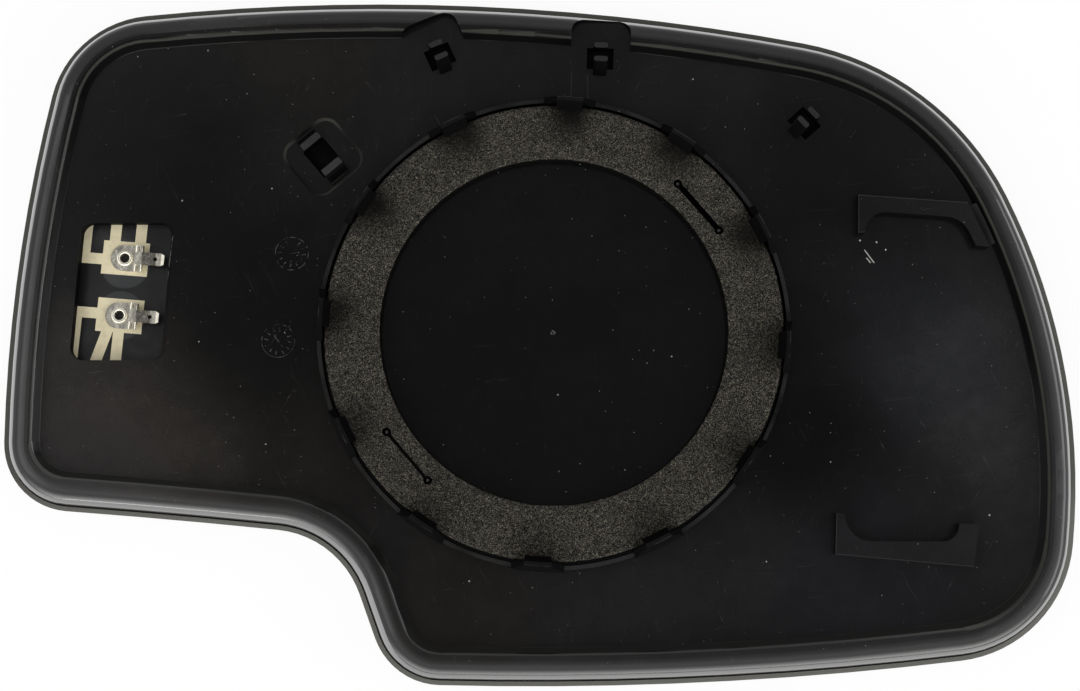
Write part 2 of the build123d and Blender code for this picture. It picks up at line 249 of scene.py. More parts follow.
@dataclass(frozen=True)
class Spot:
    """A point of a surface: where it lies, in millimetres, and which way it faces."""

    sheet: "NodeSheet"
    place: bpy.types.NodeSocket
    x: Value
    y: Value
    z: Value
    facing_x: Value
    facing_y: Value
    facing_z: Value

    def up(self) -> Value:
        """Masks the faces that point away from the table."""
        return self.facing_z.rise(*FACING_UP)

    def outward(self) -> Value:
        """Masks the faces that lean away from the middle of the part."""
        return (self.facing_x * self.x + self.facing_y * self.y).rise(*LEANING_OUT)

    def from_point(self, centre: Point) -> Value:
        """Measures how far the spot lies from an upright line, in millimetres."""
        across, along = self.x - centre[0], self.y - centre[1]
        return (across * across + along * along).root()

    def from_line(self, start: Point, end: Point) -> Value:
        """Measures how far the spot lies from a short straight line, seen from above.

        Args:
            start: one end of the line.
            end: its other end.

        Returns:
            The distance, in millimetres.
        """
        run = (end[0] - start[0], end[1] - start[1])
        length = math.hypot(*run)
        unit = (run[0] / length, run[1] / length)
        across, along = self.x - start[0], self.y - start[1]
        travel = across * unit[0] + along * unit[1]
        beside = across * unit[1] - along * unit[0]
        beyond = (travel * -1.0) | (travel - length) | 0.0
        return (beside * beside + beyond * beyond).root()

    def beyond_hub(self) -> Value:
        """Masks what lies outside the ring of hooks."""
        return self.from_point(HUB).rise(*HOOK_REACH)

    def sheltered(self, fade: float, share: float) -> Value:
        """Keeps a share of what lies inside the foam ring, from that far past its bore."""
        return self.from_point(HUB).rise(FOAM_BORE + fade, SHELTERED_FROM).span(1.0, share)

    def near(self, places: Sequence[Point], reach: float) -> Value:
        """Masks what lies within reach of any of several places."""
        return reduce(or_, [self.from_point(place).rise(reach, reach * NEAR_EDGE) for place in places])

    def inside(self, low: Point, high: Point) -> Value:
        """Masks an upright box between two corners, with a soft margin inside it."""
        sides = [(self.x, low[0], high[0]), (self.y, low[1], high[1])]
        return reduce(mul, [axis.band(a + BOX_MARGIN, b - BOX_MARGIN, BOX_MARGIN) for axis, a, b in sides])

    def lines(self, ends: Sequence[Line], width: float) -> Value:
        """Masks short straight lines of one width."""
        edge = [width * share for share in LINE_EDGE]
        return reduce(or_, [self.from_line(*pair).rise(*edge) for pair in ends])

    def clouds(self, recipe: Clouds) -> Value:
        """Lays a cloudy pattern.

        Args:
            recipe: the pattern.

        Returns:
            The noise, from 0 to 1 or over the recipe's share.
        """
        place = self.place
        if recipe.stretch:
            place = self.sheet.stretched(place, recipe.turn, recipe.stretch)
        noise = self.sheet.noise(place, recipe.size, recipe.detail, recipe.rough)
        if recipe.levels:
            noise = noise.rise(*recipe.levels)
        return noise.span(*recipe.share) if recipe.share else noise

    def scatter(self, recipe: Scatter) -> Value:
        """Masks scattered specks."""
        far, own = self.sheet.cells(self.place, recipe.cell)
        return (far * recipe.cell - own * recipe.varied).rise(*recipe.edge) * own.rise(*recipe.kept)


class NodeSheet:
    """A node tree with one method that adds any node, and short forms for the common ones."""

    def __init__(self, tree: bpy.types.NodeTree) -> None:
        """Empties a node tree and takes it over."""
        self.tree = tree
        self.tree.nodes.clear()

    def node(
        self,
        kind: str,
        settings: Mapping[str, Any] | None = None,
        inputs: Mapping[Union[int, str], Any] | None = None,
    ) -> bpy.types.Node:
        """Adds a node.

        Args:
            kind: the node's type.
            settings: its own settings, set before its sockets.
            inputs: values or links of its sockets, by name or number.

        Returns:
            The new node.
        """
        made = self.tree.nodes.new(kind)
        for name, setting in (settings or {}).items():
            setattr(made, name, setting)
        for key, given in (inputs or {}).items():
            source = given.socket if isinstance(given, Value) else given
            if isinstance(source, bpy.types.NodeSocket):
                self.tree.links.new(source, made.inputs[key])
            else:
                made.inputs[key].default_value = source
        return made

    def parts(self, vector: bpy.types.NodeSocket) -> tuple[Value, ...]:
        """Splits a vector into its three values."""
        split = self.node("ShaderNodeSeparateXYZ", inputs={0: vector})
        return tuple(Value(self, socket) for socket in split.outputs)

    def spot(self) -> Spot:
        """Reads where a point of the surface lies and which way it faces.

        Returns:
            The spot, in object coordinates.
        """
        given = self.node("ShaderNodeTexCoord").outputs
        inputs = {0: given["Object"], "Scale": 1 / MM}
        place = self.node("ShaderNodeVectorMath", {"operation": "SCALE"}, inputs).outputs[0]
        return Spot(self, place, *self.parts(place), *self.parts(given["Normal"]))

    def stretched(
        self,
        vector: bpy.types.NodeSocket,
        turn: float,
        lengths: Sequence[float],
    ) -> bpy.types.NodeSocket:
        """Turns a pattern by degrees about the upright axis and stretches its units to those lengths."""
        inputs = {"Vector": vector, "Rotation": (0.0, 0.0, math.radians(turn)), "Scale": tuple(lengths)}
        return self.node("ShaderNodeMapping", {"vector_type": "TEXTURE"}, inputs).outputs[0]

    def noise(self, vector: bpy.types.NodeSocket, size: float, detail: float, rough: float) -> Value:
        """Adds cloudy noise of that size in millimetres, with finer layers of that number and strength."""
        inputs = {"Vector": vector, "Scale": 1 / size, "Detail": detail, "Roughness": rough}
        return Value(self, self.node("ShaderNodeTexNoise", inputs=inputs).outputs[0])

    def cells(self, vector: bpy.types.NodeSocket, size: float) -> tuple[Value, Value]:
        """Adds scattered cells.

        Args:
            vector: the coordinates, in millimetres.
            size: the size of a cell, in millimetres.

        Returns:
            The distance to a cell's middle in cells, and a number of the cell's own.
        """
        inputs = {"Vector": vector, "Scale": 1 / size, "Randomness": 1.0}
        node = self.node("ShaderNodeTexVoronoi", inputs=inputs)
        own = self.node("ShaderNodeSeparateColor", inputs={0: node.outputs["Color"]})
        return Value(self, node.outputs["Distance"]), Value(self, own.outputs[0])

    def mix(self, mask: Any, first: Any, second: Any) -> bpy.types.NodeSocket:
        """Mixes two colours; at a mask of 1 only the second shows."""
        settings = {"data_type": "RGBA", "clamp_factor": True}
        return self.node("ShaderNodeMix", settings, {0: mask, 6: first, 7: second}).outputs[2]

    def bump(self, height: Value, depth: float) -> bpy.types.NodeSocket:
        """Turns a height into a bumped normal, where 1 stands that many millimetres above 0."""
        inputs = {"Strength": 1.0, "Distance": depth * MM, "Height": height}
        return self.node("ShaderNodeBump", inputs=inputs).outputs[0]


class SurfaceSheet(NodeSheet):
    """A material's node sheet, which ends in one surface shader."""

    def __init__(self, name: str) -> None:
        """Makes an empty material.

        Args:
            name: the material's name.
        """
        self.material = bpy.data.materials.new(name)
        self.material.use_nodes = True
        super().__init__(self.material.node_tree)

    def surface(self, inputs: Mapping[str, Any]) -> bpy.types.NodeSocket:
        """Adds a surface shader with those values or links on its sockets."""
        return self.node("ShaderNodeBsdfPrincipled", inputs=inputs).outputs[0]

    def blend(
        self,
        mask: Value,
        first: bpy.types.NodeSocket,
        second: bpy.types.NodeSocket,
    ) -> bpy.types.NodeSocket:
        """Mixes two shaders; at a mask of 1 only the second shows."""
        return self.node("ShaderNodeMixShader", inputs={0: mask, 1: first, 2: second}).outputs[0]

    def finish(self, shader: bpy.types.NodeSocket) -> bpy.types.Material:
        """Closes the sheet with its shader."""
        self.node("ShaderNodeOutputMaterial", inputs={"Surface": shader})
        return self.material


@dataclass(frozen=True)
class DustCoat:
    """Dust on the flats, in millimetres; a patch has its middle, its reach and the share of dust it keeps."""

    warm: Colour = (0.028, 0.0245, 0.0215, 1.0)
    cool: Colour = (0.0215, 0.0221, 0.025, 1.0)
    cool_from: Pair = (-70.0, 90.0)
    cool_gain: float = 0.6
    tint: Clouds = Clouds(50.0, 1.0, levels=(0.35, 0.65))
    tint_gain: float = 0.4
    level: float = 0.29
    bottom_gain: float = 0.12
    bottom_from: Pair = (-20.0, -62.0)
    heights: Pair = (12.0, 7.5)
    least_share: float = 0.25
    sheltered_fade: float = 5.0
    sheltered_share: float = 0.4
    patch_core: float = 0.25
    textures: tuple[Clouds, ...] = (
        Clouds(22.0, 4.0, 0.62, (0.3, 0.7), (0.75, 1.2)),
        Clouds(3.2, 3.0, 0.6, (0.25, 0.75), (0.9, 1.1)),
        Clouds(0.5, 2.0, 0.5, (0.25, 0.75), (0.85, 1.15)),
    )
    patches: tuple[tuple[Point, float, float], ...] = (
        ((-86.0, 42.0), 40.0, 0.25),
        ((-64.0, 6.0), 40.0, 0.3),
        ((68.0, 38.0), 34.0, 0.4),
        ((96.0, -8.0), 28.0, 2.7),
        ((104.0, -34.0), 18.0, 1.6),
        ((58.0, -22.0), 26.0, 0.15),
        ((58.0, 4.0), 17.0, 0.5),
        ((-112.0, 3.0), 16.0, 1.5),
        ((-92.0, -20.0), 36.0, 3.0),
        ((-62.0, -30.0), 20.0, 1.4),
    )

    def colour(self, spot: Spot) -> bpy.types.NodeSocket:
        """Gives the dust's colour, warmer towards the inner end."""
        tint = spot.x.rise(*self.cool_from) * self.cool_gain + spot.clouds(self.tint) * self.tint_gain
        return spot.sheet.mix(tint, self.warm, self.cool)

    def thickness(self, spot: Spot) -> Value:
        """Spreads dust, more by the outer end and the bottom and less on what stands high; listed patches and
        the inside of the ring make the flats lighter or darker.

        Args:
            spot: the point of the surface.

        Returns:
            How thick the dust lies, from 0 to 1.
        """
        level = spot.y.rise(*self.bottom_from) * self.bottom_gain + self.level
        for middle, reach, kept in self.patches:
            patch = spot.from_point(middle).rise(reach, reach * self.patch_core)
            level = level * patch.span(1.0, kept)
        level = level * spot.sheltered(self.sheltered_fade, self.sheltered_share)
        level = level * spot.z.rise(*self.heights).span(self.least_share, 1.0)
        return reduce(mul, [level, *map(spot.clouds, self.textures)])


@dataclass(frozen=True)
class Lint:
    """Specks, scratches and mould lines on the flats, and a painted highlight along the window's edge, in
    millimetres.

    A run of threads has a direction in degrees and a length. Its threads follow the middle level of a
    noise, in the cells that it keeps.
    """

    pale: Colour = (0.36, 0.35, 0.32, 1.0)
    large: Scatter = Scatter(5.0, (0.16, 0.05), (0.5, 0.95), 0.08)
    large_strength: float = 0.75
    small: Scatter = Scatter(1.5, (0.135, 0.055), (0.6, 0.97))
    crowd: Clouds = Clouds(15.0, 1.0, 0.5, (0.35, 0.65), (0.25, 0.8))
    bright: tuple[Point, ...] = ((71.8, 21.6), (75.5, 21.2), (77.5, 19.5), (98.9, -39.5))
    bright_reach: float = 0.2
    gate_mark: Point = (3.1, 0.8)
    gate_reach: float = 0.6
    gate_strength: float = 0.3
    gate_grain: Clouds = Clouds(0.4, 1.0, levels=(0.42, 0.6))
    runs: tuple[Pair, ...] = ((64.0, 9.0), (118.0, 14.0), (97.0, 6.0), (6.0, 11.0))
    run_width: float = 0.8
    run_flatness: float = 10.0
    thread_size: float = 0.9
    thread_edge: Pair = (0.014, 0.003)
    thread_ends: Pair = (0.55, 0.2)
    threads_kept: Pair = (0.8, 0.95)
    thread_strength: float = 0.05
    sheltered_fade: float = 1.0
    sheltered_share: float = 0.4
    line_width: float = 0.26
    scratches: tuple[Line, ...] = (((72.8, 19.4), (74.8, 16.6)), ((73.2, 17.6), (74.0, 16.6)))
    mould_line_strength: float = 0.04
    mould_lines: tuple[Line, ...] = (
        ((7.3, 60.0), (7.2, 54.5)),
        ((10.9, 59.5), (11.0, 54.0)),
        ((71.2, 31.4), (71.0, 23.0)),
        ((72.4, 23.1), (71.0, 23.0)),
        ((71.2, 31.4), (95.4, 29.7)),
        ((64.9, -39.1), (64.5, -47.9)),
        ((64.5, -47.9), (94.4, -50.6)),
    )
    # The window edge lines below are a painted highlight in the lint's pale colour.
    window_edge_highlight_strength: float = 0.3
    window_edge_highlight_breaks: Clouds = Clouds(1.4, 1.0, levels=(0.38, 0.58))
    window_edge_highlight: tuple[Line, ...] = (
        ((-82.2, 23.0), (-83.3, 12.0)),
        ((-83.3, 12.0), (-84.3, 0.0)),
        ((-84.3, 0.0), (-85.7, -3.0)),
    )

    def specks(self, spot: Spot) -> Value:
        """Scatters specks, with a few bright ones and scratches by the brackets and the gate's grainy mark.

        Args:
            spot: the point of the surface.

        Returns:
            The mask.
        """
        large = spot.scatter(self.large) * self.large_strength
        small = spot.scatter(self.small) * spot.clouds(self.crowd)
        bright = spot.near(self.bright, self.bright_reach)
        gate = spot.near([self.gate_mark], self.gate_reach) * spot.clouds(self.gate_grain)
        scratched = spot.lines(self.scratches, self.line_width)
        return large | small | bright | gate * self.gate_strength | scratched

    def threads(self, spot: Spot) -> Value:
        """Draws faint short scratches, mould lines by a tongue and the brackets, and a painted highlight on
        the window's broken edge.

        Args:
            spot: the point of the surface.

        Returns:
            The mask.
        """
        drawn = []
        for turn, length in self.runs:
            lengths = (length, self.run_width, length / self.run_flatness)
            along = spot.sheet.stretched(spot.place, turn, lengths)
            far, own = spot.sheet.cells(along, 1.0)
            thread = abs(spot.sheet.noise(along, self.thread_size, 0.0, 0.5) - 0.5).rise(*self.thread_edge)
            thread = thread * own.rise(*self.threads_kept) * far.rise(*self.thread_ends)
            drawn.append(thread * self.thread_strength)
        drawn.append(spot.lines(self.mould_lines, self.line_width) * self.mould_line_strength)
        # Painted highlight along the window's right edge, broken by noise.
        edge = spot.lines(self.window_edge_highlight, self.line_width) * spot.clouds(self.window_edge_highlight_breaks)
        drawn.append(edge * self.window_edge_highlight_strength)
        return reduce(or_, drawn) * spot.sheltered(self.sheltered_fade, self.sheltered_share)


@dataclass(frozen=True)
class RubbedTopsAndPaintedHighlights:
    """What hands and the actuator rub pale, and painted highlights on the hook crowns, pin tips, dials and
    hoop rib, in millimetres.
    """

    # pale colours both the rubbed prong tops and the painted highlights.
    pale: Colour = (0.075, 0.075, 0.073, 1.0)
    soft: float = 0.1
    clip_reach: float = 7.5
    prong_strength: float = 0.32
    # The settings from here on are for painted highlights on the crowns, pins, dials and rib.
    crown_reach: float = 51.4
    crown_edge: float = 0.25
    crown_share: Pair = (0.03, 0.4)
    crown_highlight_breaks: Clouds = Clouds(2.5, 1.0, levels=(0.35, 0.6))
    pin_reach: float = 1.2
    pin_tip: float = 0.4
    pin_highlight_strength: float = 0.5
    dial_reach: float = 4.0
    dial_heights: Pair = (6.55, 6.64)
    dial_highlight_strength: float = 0.75
    dial_highlight_breaks: Clouds = Clouds(1.1, 2.0, levels=(0.4, 0.66))
    rib_reach: Pair = (51.6, 52.5)
    rib_highlight: Clouds = Clouds(9.0, 1.0, 0.5, (0.35, 0.6), (0.06, 0.26))

    def mask(self, spot: Spot) -> Value:
        """Masks the rubbed prong tops, and painted highlights on the hook crowns (most at their edge), the
        pin tips, the raised dials and the hoop rib's top.

        Args:
            spot: the point of the surface.

        Returns:
            The mask.
        """
        soft = self.soft
        from_hub = spot.from_point(HUB)
        prongs = spot.near(CLIPS, self.clip_reach) * spot.z.rise(Level.CREST, Level.WIDE_PRONG - soft)
        crowns = spot.z.rise(Level.HOOK_CROWN - 2 * soft, Level.HOOK_CROWN - soft)
        # Painted highlight along the hook crowns' edges.
        edges = from_hub.rise(self.crown_reach - self.crown_edge, self.crown_reach - soft)
        edges = edges * spot.clouds(self.crown_highlight_breaks)
        # Painted glint on the pin tips.
        pins = spot.near(FoamRing().pin_places(), self.pin_reach)
        pins = pins * spot.z.rise(Level.PIN_TIP - self.pin_tip, Level.PIN_TIP)
        # Painted highlight on the dials' raised marks.
        dials = spot.near(DIALS, self.dial_reach) * spot.clouds(self.dial_highlight_breaks)
        dials = dials * spot.z.rise(*self.dial_heights)
        # Painted highlight along the hoop rib's top.
        rib = from_hub.band(*self.rib_reach, soft) * spot.z.band(Level.RIB - soft, Level.RIB + soft, soft)
        rib = rib * spot.clouds(self.rib_highlight)
        # raised holds only painted highlights.
        raised = pins * self.pin_highlight_strength | dials * self.dial_highlight_strength | rib
        return prongs * self.prong_strength | crowns * edges.span(*self.crown_share) | raised


@dataclass(frozen=True)
class PaintedEdgeHighlights:
    """Painted highlights along the rim's edges, in millimetres; a slope has the upright parts of a normal at
    its two sides.
    """

    # pale is the colour of the painted highlights.
    pale: Colour = (0.15, 0.147, 0.132, 1.0)
    breaks: Clouds = Clouds(17.0, 1.0, levels=(0.46, 0.56))
    ledge_level: float = 0.42
    bottom_gain: float = 0.45
    bottom_from: Pair = (-30.0, -42.0)
    outer_gain: float = 0.2
    outer_from: Pair = (95.0, 112.0)
    ledge_heights: Pair = (4.4, 4.7)
    ledge_soft: float = 0.1
    crest_heights: Pair = (8.4, 8.7)
    crest_slope: tuple[Pair, Pair] = ((0.45, 0.7), (0.97, 0.88))
    crest_share: Pair = (0.06, 0.2)
    top_facing: Pair = (0.0, 0.3)
    ends_from: Pair = (60.0, 95.0)
    foot_height: float = 0.2
    foot_slope: tuple[Pair, Pair] = ((0.3, 0.4), (0.6, 0.5))
    foot_share: Pair = (0.04, 0.13)
    pad_slope: tuple[Pair, Pair] = ((0.5, 0.65), (0.9, 0.8))
    pad_share: Pair = (0.06, 0.25)
    # Painted light on the inner walls that face +y.
    wall_light_facing: Pair = (0.2, 0.5)
    wall_light_slope: Pair = (0.8, 0.6)
    wall_light_strength: float = 0.06

    def mask(self, spot: Spot) -> Value:
        """Masks painted highlights on the ledge, the crest's inner edge, its wall's foot, the inner walls
        that face +y and the sunk pad's edge.

        Args:
            spot: the point of the surface.

        Returns:
            The mask.
        """
        slope = spot.facing_z
        inner = (1 - spot.outward()) * spot.beyond_hub()
        broken = spot.clouds(self.breaks)
        share = spot.y.rise(*self.bottom_from) * self.bottom_gain
        share = share + spot.x.rise(*self.outer_from) * self.outer_gain + self.ledge_level
        # Painted reflection along the ledge, brighter towards the bottom edge and the outer end.
        ledge = spot.z.band(*self.ledge_heights, self.ledge_soft) * spot.up() * share
        # Painted highlight on the crest's inner edge, stronger where it faces -y and at the ends.
        crest = inner * spot.z.rise(*self.crest_heights) * slope.between(*self.crest_slope)
        top_side = (-1 * spot.facing_y).rise(*self.top_facing) | abs(spot.x).rise(*self.ends_from)
        crest = crest * top_side.span(*self.crest_share)
        # Painted highlight along the wall's foot.
        foot = inner * spot.z.band(Level.PLATE, Level.PLATE + self.foot_height, self.foot_height)
        foot = foot * slope.between(*self.foot_slope) * broken.span(*self.foot_share)
        # Painted highlight along the sunk pad's edge.
        pad = spot.near([PAD_CLIP], PAD_REACH) * slope.between(*self.pad_slope)
        pad = pad * broken.span(*self.pad_share)
        # Painted light on the inner walls that face +y.
        painted_wall_light = inner * spot.facing_y.rise(*self.wall_light_facing) * slope.rise(*self.wall_light_slope)
        return ledge | crest | foot | pad | painted_wall_light * self.wall_light_strength


@dataclass(frozen=True)
class BlackMoulding:
    """Deep black moulding: glossy outside, dusty flats, dull inner walls, rubbed prong tops and painted
    highlights on raised tops and edges. Millimetres.
    """

    black: Colour = (0.0012, 0.0012, 0.0013, 1.0)
    dust: DustCoat = DustCoat()
    lint: Lint = Lint()
    tops: RubbedTopsAndPaintedHighlights = RubbedTopsAndPaintedHighlights()
    # edges holds painted highlights along the rim's edges.
    edges: PaintedEdgeHighlights = PaintedEdgeHighlights()
    ior: float = 1.5
    coat_ior: float = 3.4
    coat_roughness: float = 0.07
    steep_roughness: float = 0.15
    flat_roughness: Pair = (0.1, 0.2)
    dull_roughness: float = 0.6
    dull_specular: float = 0.05
    raised_by: float = 0.18
    dulled_by: float = 0.25
    relief: float = 0.012
    grain: Clouds = Clouds(0.26)
    swell: Clouds = Clouds(1.6, 3.0)
    smear: Clouds = Clouds(1.0, 3.0, turn=18.0, stretch=(14.0, 5.0, 1.0))
    swell_gain: float = 0.5
    grain_gain: Pair = (0.2, 3.0)
    # rub_and_highlight_levels and rub_and_highlight_share vary the rubbed tops and painted highlights alike;
    # edge_highlight_share varies the painted edge highlights.
    rub_and_highlight_levels: Pair = (0.2, 0.8)
    rub_and_highlight_share: Pair = (0.3, 1.0)
    edge_highlight_share: Pair = (0.7, 1.3)
    polished_slope: Pair = (0.75, 0.68)
    overhang_slope: Pair = (-0.6, -0.3)
    inner_end_facing: Pair = (-0.4, -0.8)
    inner_end_gain: float = 0.1
    below_facing: Pair = (0.2, 0.8)
    below_share: Pair = (1.0, 0.75)
    steep: Pair = (0.995, 0.96)
    bottom_facing: Pair = (0.03, 0.2)
    crest_facing: Pair = (0.1, 0.45)
    crest_from: Pair = (60.0, 80.0)
    crest_slope: Pair = (0.4, 0.55)
    raised_heights: Pair = (7.5, 8.8)
    raised_from: Pair = (52.0, 34.0)
    bracket_share: float = 0.5
    window_soft: float = 0.1
    window: Line = ((-107.0, -20.0), (-79.0, 34.0))
    brackets: tuple[Line, ...] = (((69.0, 18.5), (101.0, 33.5)), ((62.5, -53.0), (97.5, -37.0)))

    def polished(self, spot: Spot) -> Value:
        """Masks the steep outside of the rim, which reaches further up at the inner end.

        Args:
            spot: the point of the surface.

        Returns:
            The mask.
        """
        reach = spot.facing_z - spot.facing_x.rise(*self.inner_end_facing) * self.inner_end_gain
        beside = reach.rise(*self.polished_slope) * spot.facing_z.rise(*self.overhang_slope)
        below = (-1 * spot.facing_y).rise(*self.below_facing)
        return beside * below.span(*self.below_share) * spot.outward() * spot.beyond_hub()

    def dull_walls(self, spot: Spot) -> Value:
        """Masks dull steep faces: inner walls towards the bottom edge, the hooks, the window and the pad.

        Args:
            spot: the point of the surface.

        Returns:
            The mask.
        """
        hub = 1 - spot.beyond_hub()
        window = spot.inside(*self.window) * spot.z.rise(Level.PLATE, Level.PLATE - self.window_soft)
        crest = (-1 * spot.facing_x).rise(*self.crest_facing) * spot.x.rise(*self.crest_from)
        crest = crest * spot.facing_z.rise(*self.crest_slope)
        facing = ((-1 * spot.facing_y).rise(*self.bottom_facing) | crest) * (1 - spot.outward())
        pad = spot.near([PAD_CLIP], PAD_REACH)
        return spot.facing_z.rise(*self.steep) * (facing | hub | window | pad)

    def rough_flats(self, spot: Spot) -> Value:
        """Gives the flats' roughness: smeared, more on what stands above the plate, less so on brackets.

        Args:
            spot: the point of the surface.

        Returns:
            The roughness.
        """
        raised = spot.z.rise(*self.raised_heights) * spot.beyond_hub() * spot.y.rise(*self.raised_from)
        brackets = reduce(or_, [spot.inside(*box) for box in self.brackets])
        raised = raised * (1 - brackets * self.bracket_share)
        return spot.clouds(self.smear).span(*self.flat_roughness) + raised * self.raised_by

    def material(self) -> bpy.types.Material:
        """Builds the finish.

        Returns:
            The material.
        """
        sheet = SurfaceSheet("black_moulding")
        spot = sheet.spot()
        up = spot.up()
        specks = self.lint.specks(spot) * up
        tops = self.tops.mask(spot) * up
        # worn holds the painted edge highlights, not wear.
        worn = self.edges.mask(spot)
        grain = spot.clouds(self.grain)
        colour = sheet.mix(self.dust.thickness(spot) * up, self.black, self.dust.colour(spot))
        colour = sheet.mix(self.lint.threads(spot) * up, colour, self.lint.pale)
        colour = sheet.mix(specks, colour, self.lint.pale)
        # tops holds the rubbed prong tops and painted highlights on crowns, pins, dials and the rib.
        colour = sheet.mix(tops * grain.rise(*self.rub_and_highlight_levels).span(*self.rub_and_highlight_share), colour, self.tops.pale)
        colour = sheet.mix(worn * grain.span(*self.edge_highlight_share), colour, self.edges.pale)
        rough = up * (self.rough_flats(spot) - self.steep_roughness) + self.steep_roughness
        height = spot.clouds(self.swell) * self.swell_gain + grain * tops.span(*self.grain_gain)
        shared = {"Base Color": colour, "Normal": sheet.bump(height, self.relief)}
        glossy = {
            "Roughness": rough + (tops + specks + worn) * self.dulled_by,
            "IOR": self.ior,
            "Coat Weight": self.polished(spot),
            "Coat IOR": self.coat_ior,
            "Coat Roughness": self.coat_roughness,
        }
        dull = {"Roughness": self.dull_roughness, "Specular IOR Level": self.dull_specular}
        shaders = [sheet.surface({**shared, **own}) for own in (glossy, dull)]
        return sheet.finish(sheet.blend(self.dull_walls(spot), *shaders))


@dataclass(frozen=True)
class OpenCellFoam:
    """Brown-grey open-cell foam: speckle, small glints, painted shade on the cut walls, painted shadows
    inwards of the hooks. Millimetres.
    """

    pale: Colour = (0.103, 0.096, 0.081, 1.0)
    dark: Colour = (0.0085, 0.008, 0.0072, 1.0)
    glint: Colour = (0.34, 0.3, 0.21, 1.0)
    # Colour of the painted hook shadows.
    hook_shadow: Colour = (0.006, 0.0055, 0.005, 1.0)
    # wall is painted shade on the steep cut walls.
    wall: Colour = (0.003, 0.0028, 0.0026, 1.0)
    roughness: float = 0.95
    specular: float = 0.02
    relief: float = 0.1
    cell: float = 0.42
    cell_share: Pair = (0.6, 1.3)
    glint_edge: Pair = (0.4, 0.16)
    glints_kept: Pair = (0.6, 0.95)
    glint_strength: float = 0.5
    struts: Clouds = Clouds(0.19, 1.0, 0.7, (0.44, 0.6))
    patch: Clouds = Clouds(11.0, 3.0, share=(0.75, 1.2))
    # Slopes that get the painted wall shade.
    wall_shade_slope: Pair = (0.85, 0.55)
    hook_step: float = 30.0
    hook_phase: float = 86.0
    # Settings of the painted hook shadows.
    hook_shadow_width: Pair = (10.0, 1.0)
    hook_shadow_reach: Pair = (40.0, 48.5)
    hook_shadow_rise: Pair = (-45.0, 25.0)
    hook_shadow_share: Pair = (0.3, 0.95)
    # touched breaks up the painted hook shadows.
    touched: Clouds = Clouds(9.0, 2.0, 0.5, (0.3, 0.6), (0.7, 1.0))

    def hook_shadows(self, spot: Spot) -> Value:
        """Paints shadow on the foam inwards of each hook, most by the upper hooks.

        Args:
            spot: the point of the surface.

        Returns:
            The mask.
        """
        above = spot.y - HUB[1]
        half = self.hook_step / 2
        turn = above.bearing(spot.x - HUB[0])
        from_hook = abs((turn - self.hook_phase + 360.0 + half).wrap(self.hook_step) - half)
        deep = spot.from_point(HUB).rise(*self.hook_shadow_reach)
        share = above.rise(*self.hook_shadow_rise).span(*self.hook_shadow_share)
        return from_hook.rise(*self.hook_shadow_width) * deep * spot.clouds(self.touched) * share

    def material(self) -> bpy.types.Material:
        """Builds the finish.

        Returns:
            The material.
        """
        sheet = SurfaceSheet("open_cell_foam")
        spot = sheet.spot()
        far, own = sheet.cells(spot.place, self.cell)
        strut = spot.clouds(self.struts)
        speckle = strut * own.span(*self.cell_share) * spot.clouds(self.patch)
        glints = far.rise(*self.glint_edge) * own.rise(*self.glints_kept) * self.glint_strength
        colour = sheet.mix(speckle, self.dark, self.pale)
        colour = sheet.mix(glints, colour, self.glint)
        # Painted shadow inwards of the hooks.
        colour = sheet.mix(self.hook_shadows(spot), colour, self.hook_shadow)
        # Painted shade on the steep cut walls.
        colour = sheet.mix(spot.facing_z.rise(*self.wall_shade_slope), colour, self.wall)
        inputs = {
            "Base Color": colour,
            "Roughness": self.roughness,
            "Specular IOR Level": self.specular,
            "Normal": sheet.bump(strut, self.relief),
        }
        return sheet.finish(sheet.surface(inputs))


@dataclass(frozen=True)
class HeaterFilm:
    """Black heater film with a grey disc round each rivet and a soft sheen. Millimetres."""

    black: Colour = (0.0065, 0.0065, 0.0068, 1.0)
    disc: Colour = (0.034, 0.037, 0.038, 1.0)
    cloudy: Colour = (0.03, 0.029, 0.028, 1.0)
    speck: Colour = (0.3, 0.29, 0.27, 1.0)
    ior: float = 1.55
    roughness: Pair = (0.22, 0.4)
    relief: float = 0.03
    disc_radius: float = 5.75
    disc_share: Pair = (0.7, 1.1)
    cloud: Clouds = Clouds(5.0, 3.0)
    ripple: Clouds = Clouds(3.0)
    cloud_levels: Pair = (0.5, 0.8)
    cloud_strength: float = 0.4
    specks: Scatter = Scatter(2.2, (0.12, 0.05), (0.72, 0.95))
    speck_strength: float = 0.6

    def material(self) -> bpy.types.Material:
        """Builds the finish.

        Returns:
            The material.
        """
        sheet = SurfaceSheet("heater_film")
        spot = sheet.spot()
        cloud = spot.clouds(self.cloud)
        discs = spot.near(RIVETS, self.disc_radius) * cloud.span(*self.disc_share)
        colour = sheet.mix(discs, self.black, self.disc)
        colour = sheet.mix(cloud.rise(*self.cloud_levels) * self.cloud_strength, colour, self.cloudy)
        colour = sheet.mix(spot.scatter(self.specks) * self.speck_strength, colour, self.speck)
        inputs = {
            "Base Color": colour,
            "Roughness": cloud.span(*self.roughness),
            "IOR": self.ior,
            "Normal": sheet.bump(spot.clouds(self.ripple), self.relief),
        }
        return sheet.finish(sheet.surface(inputs))


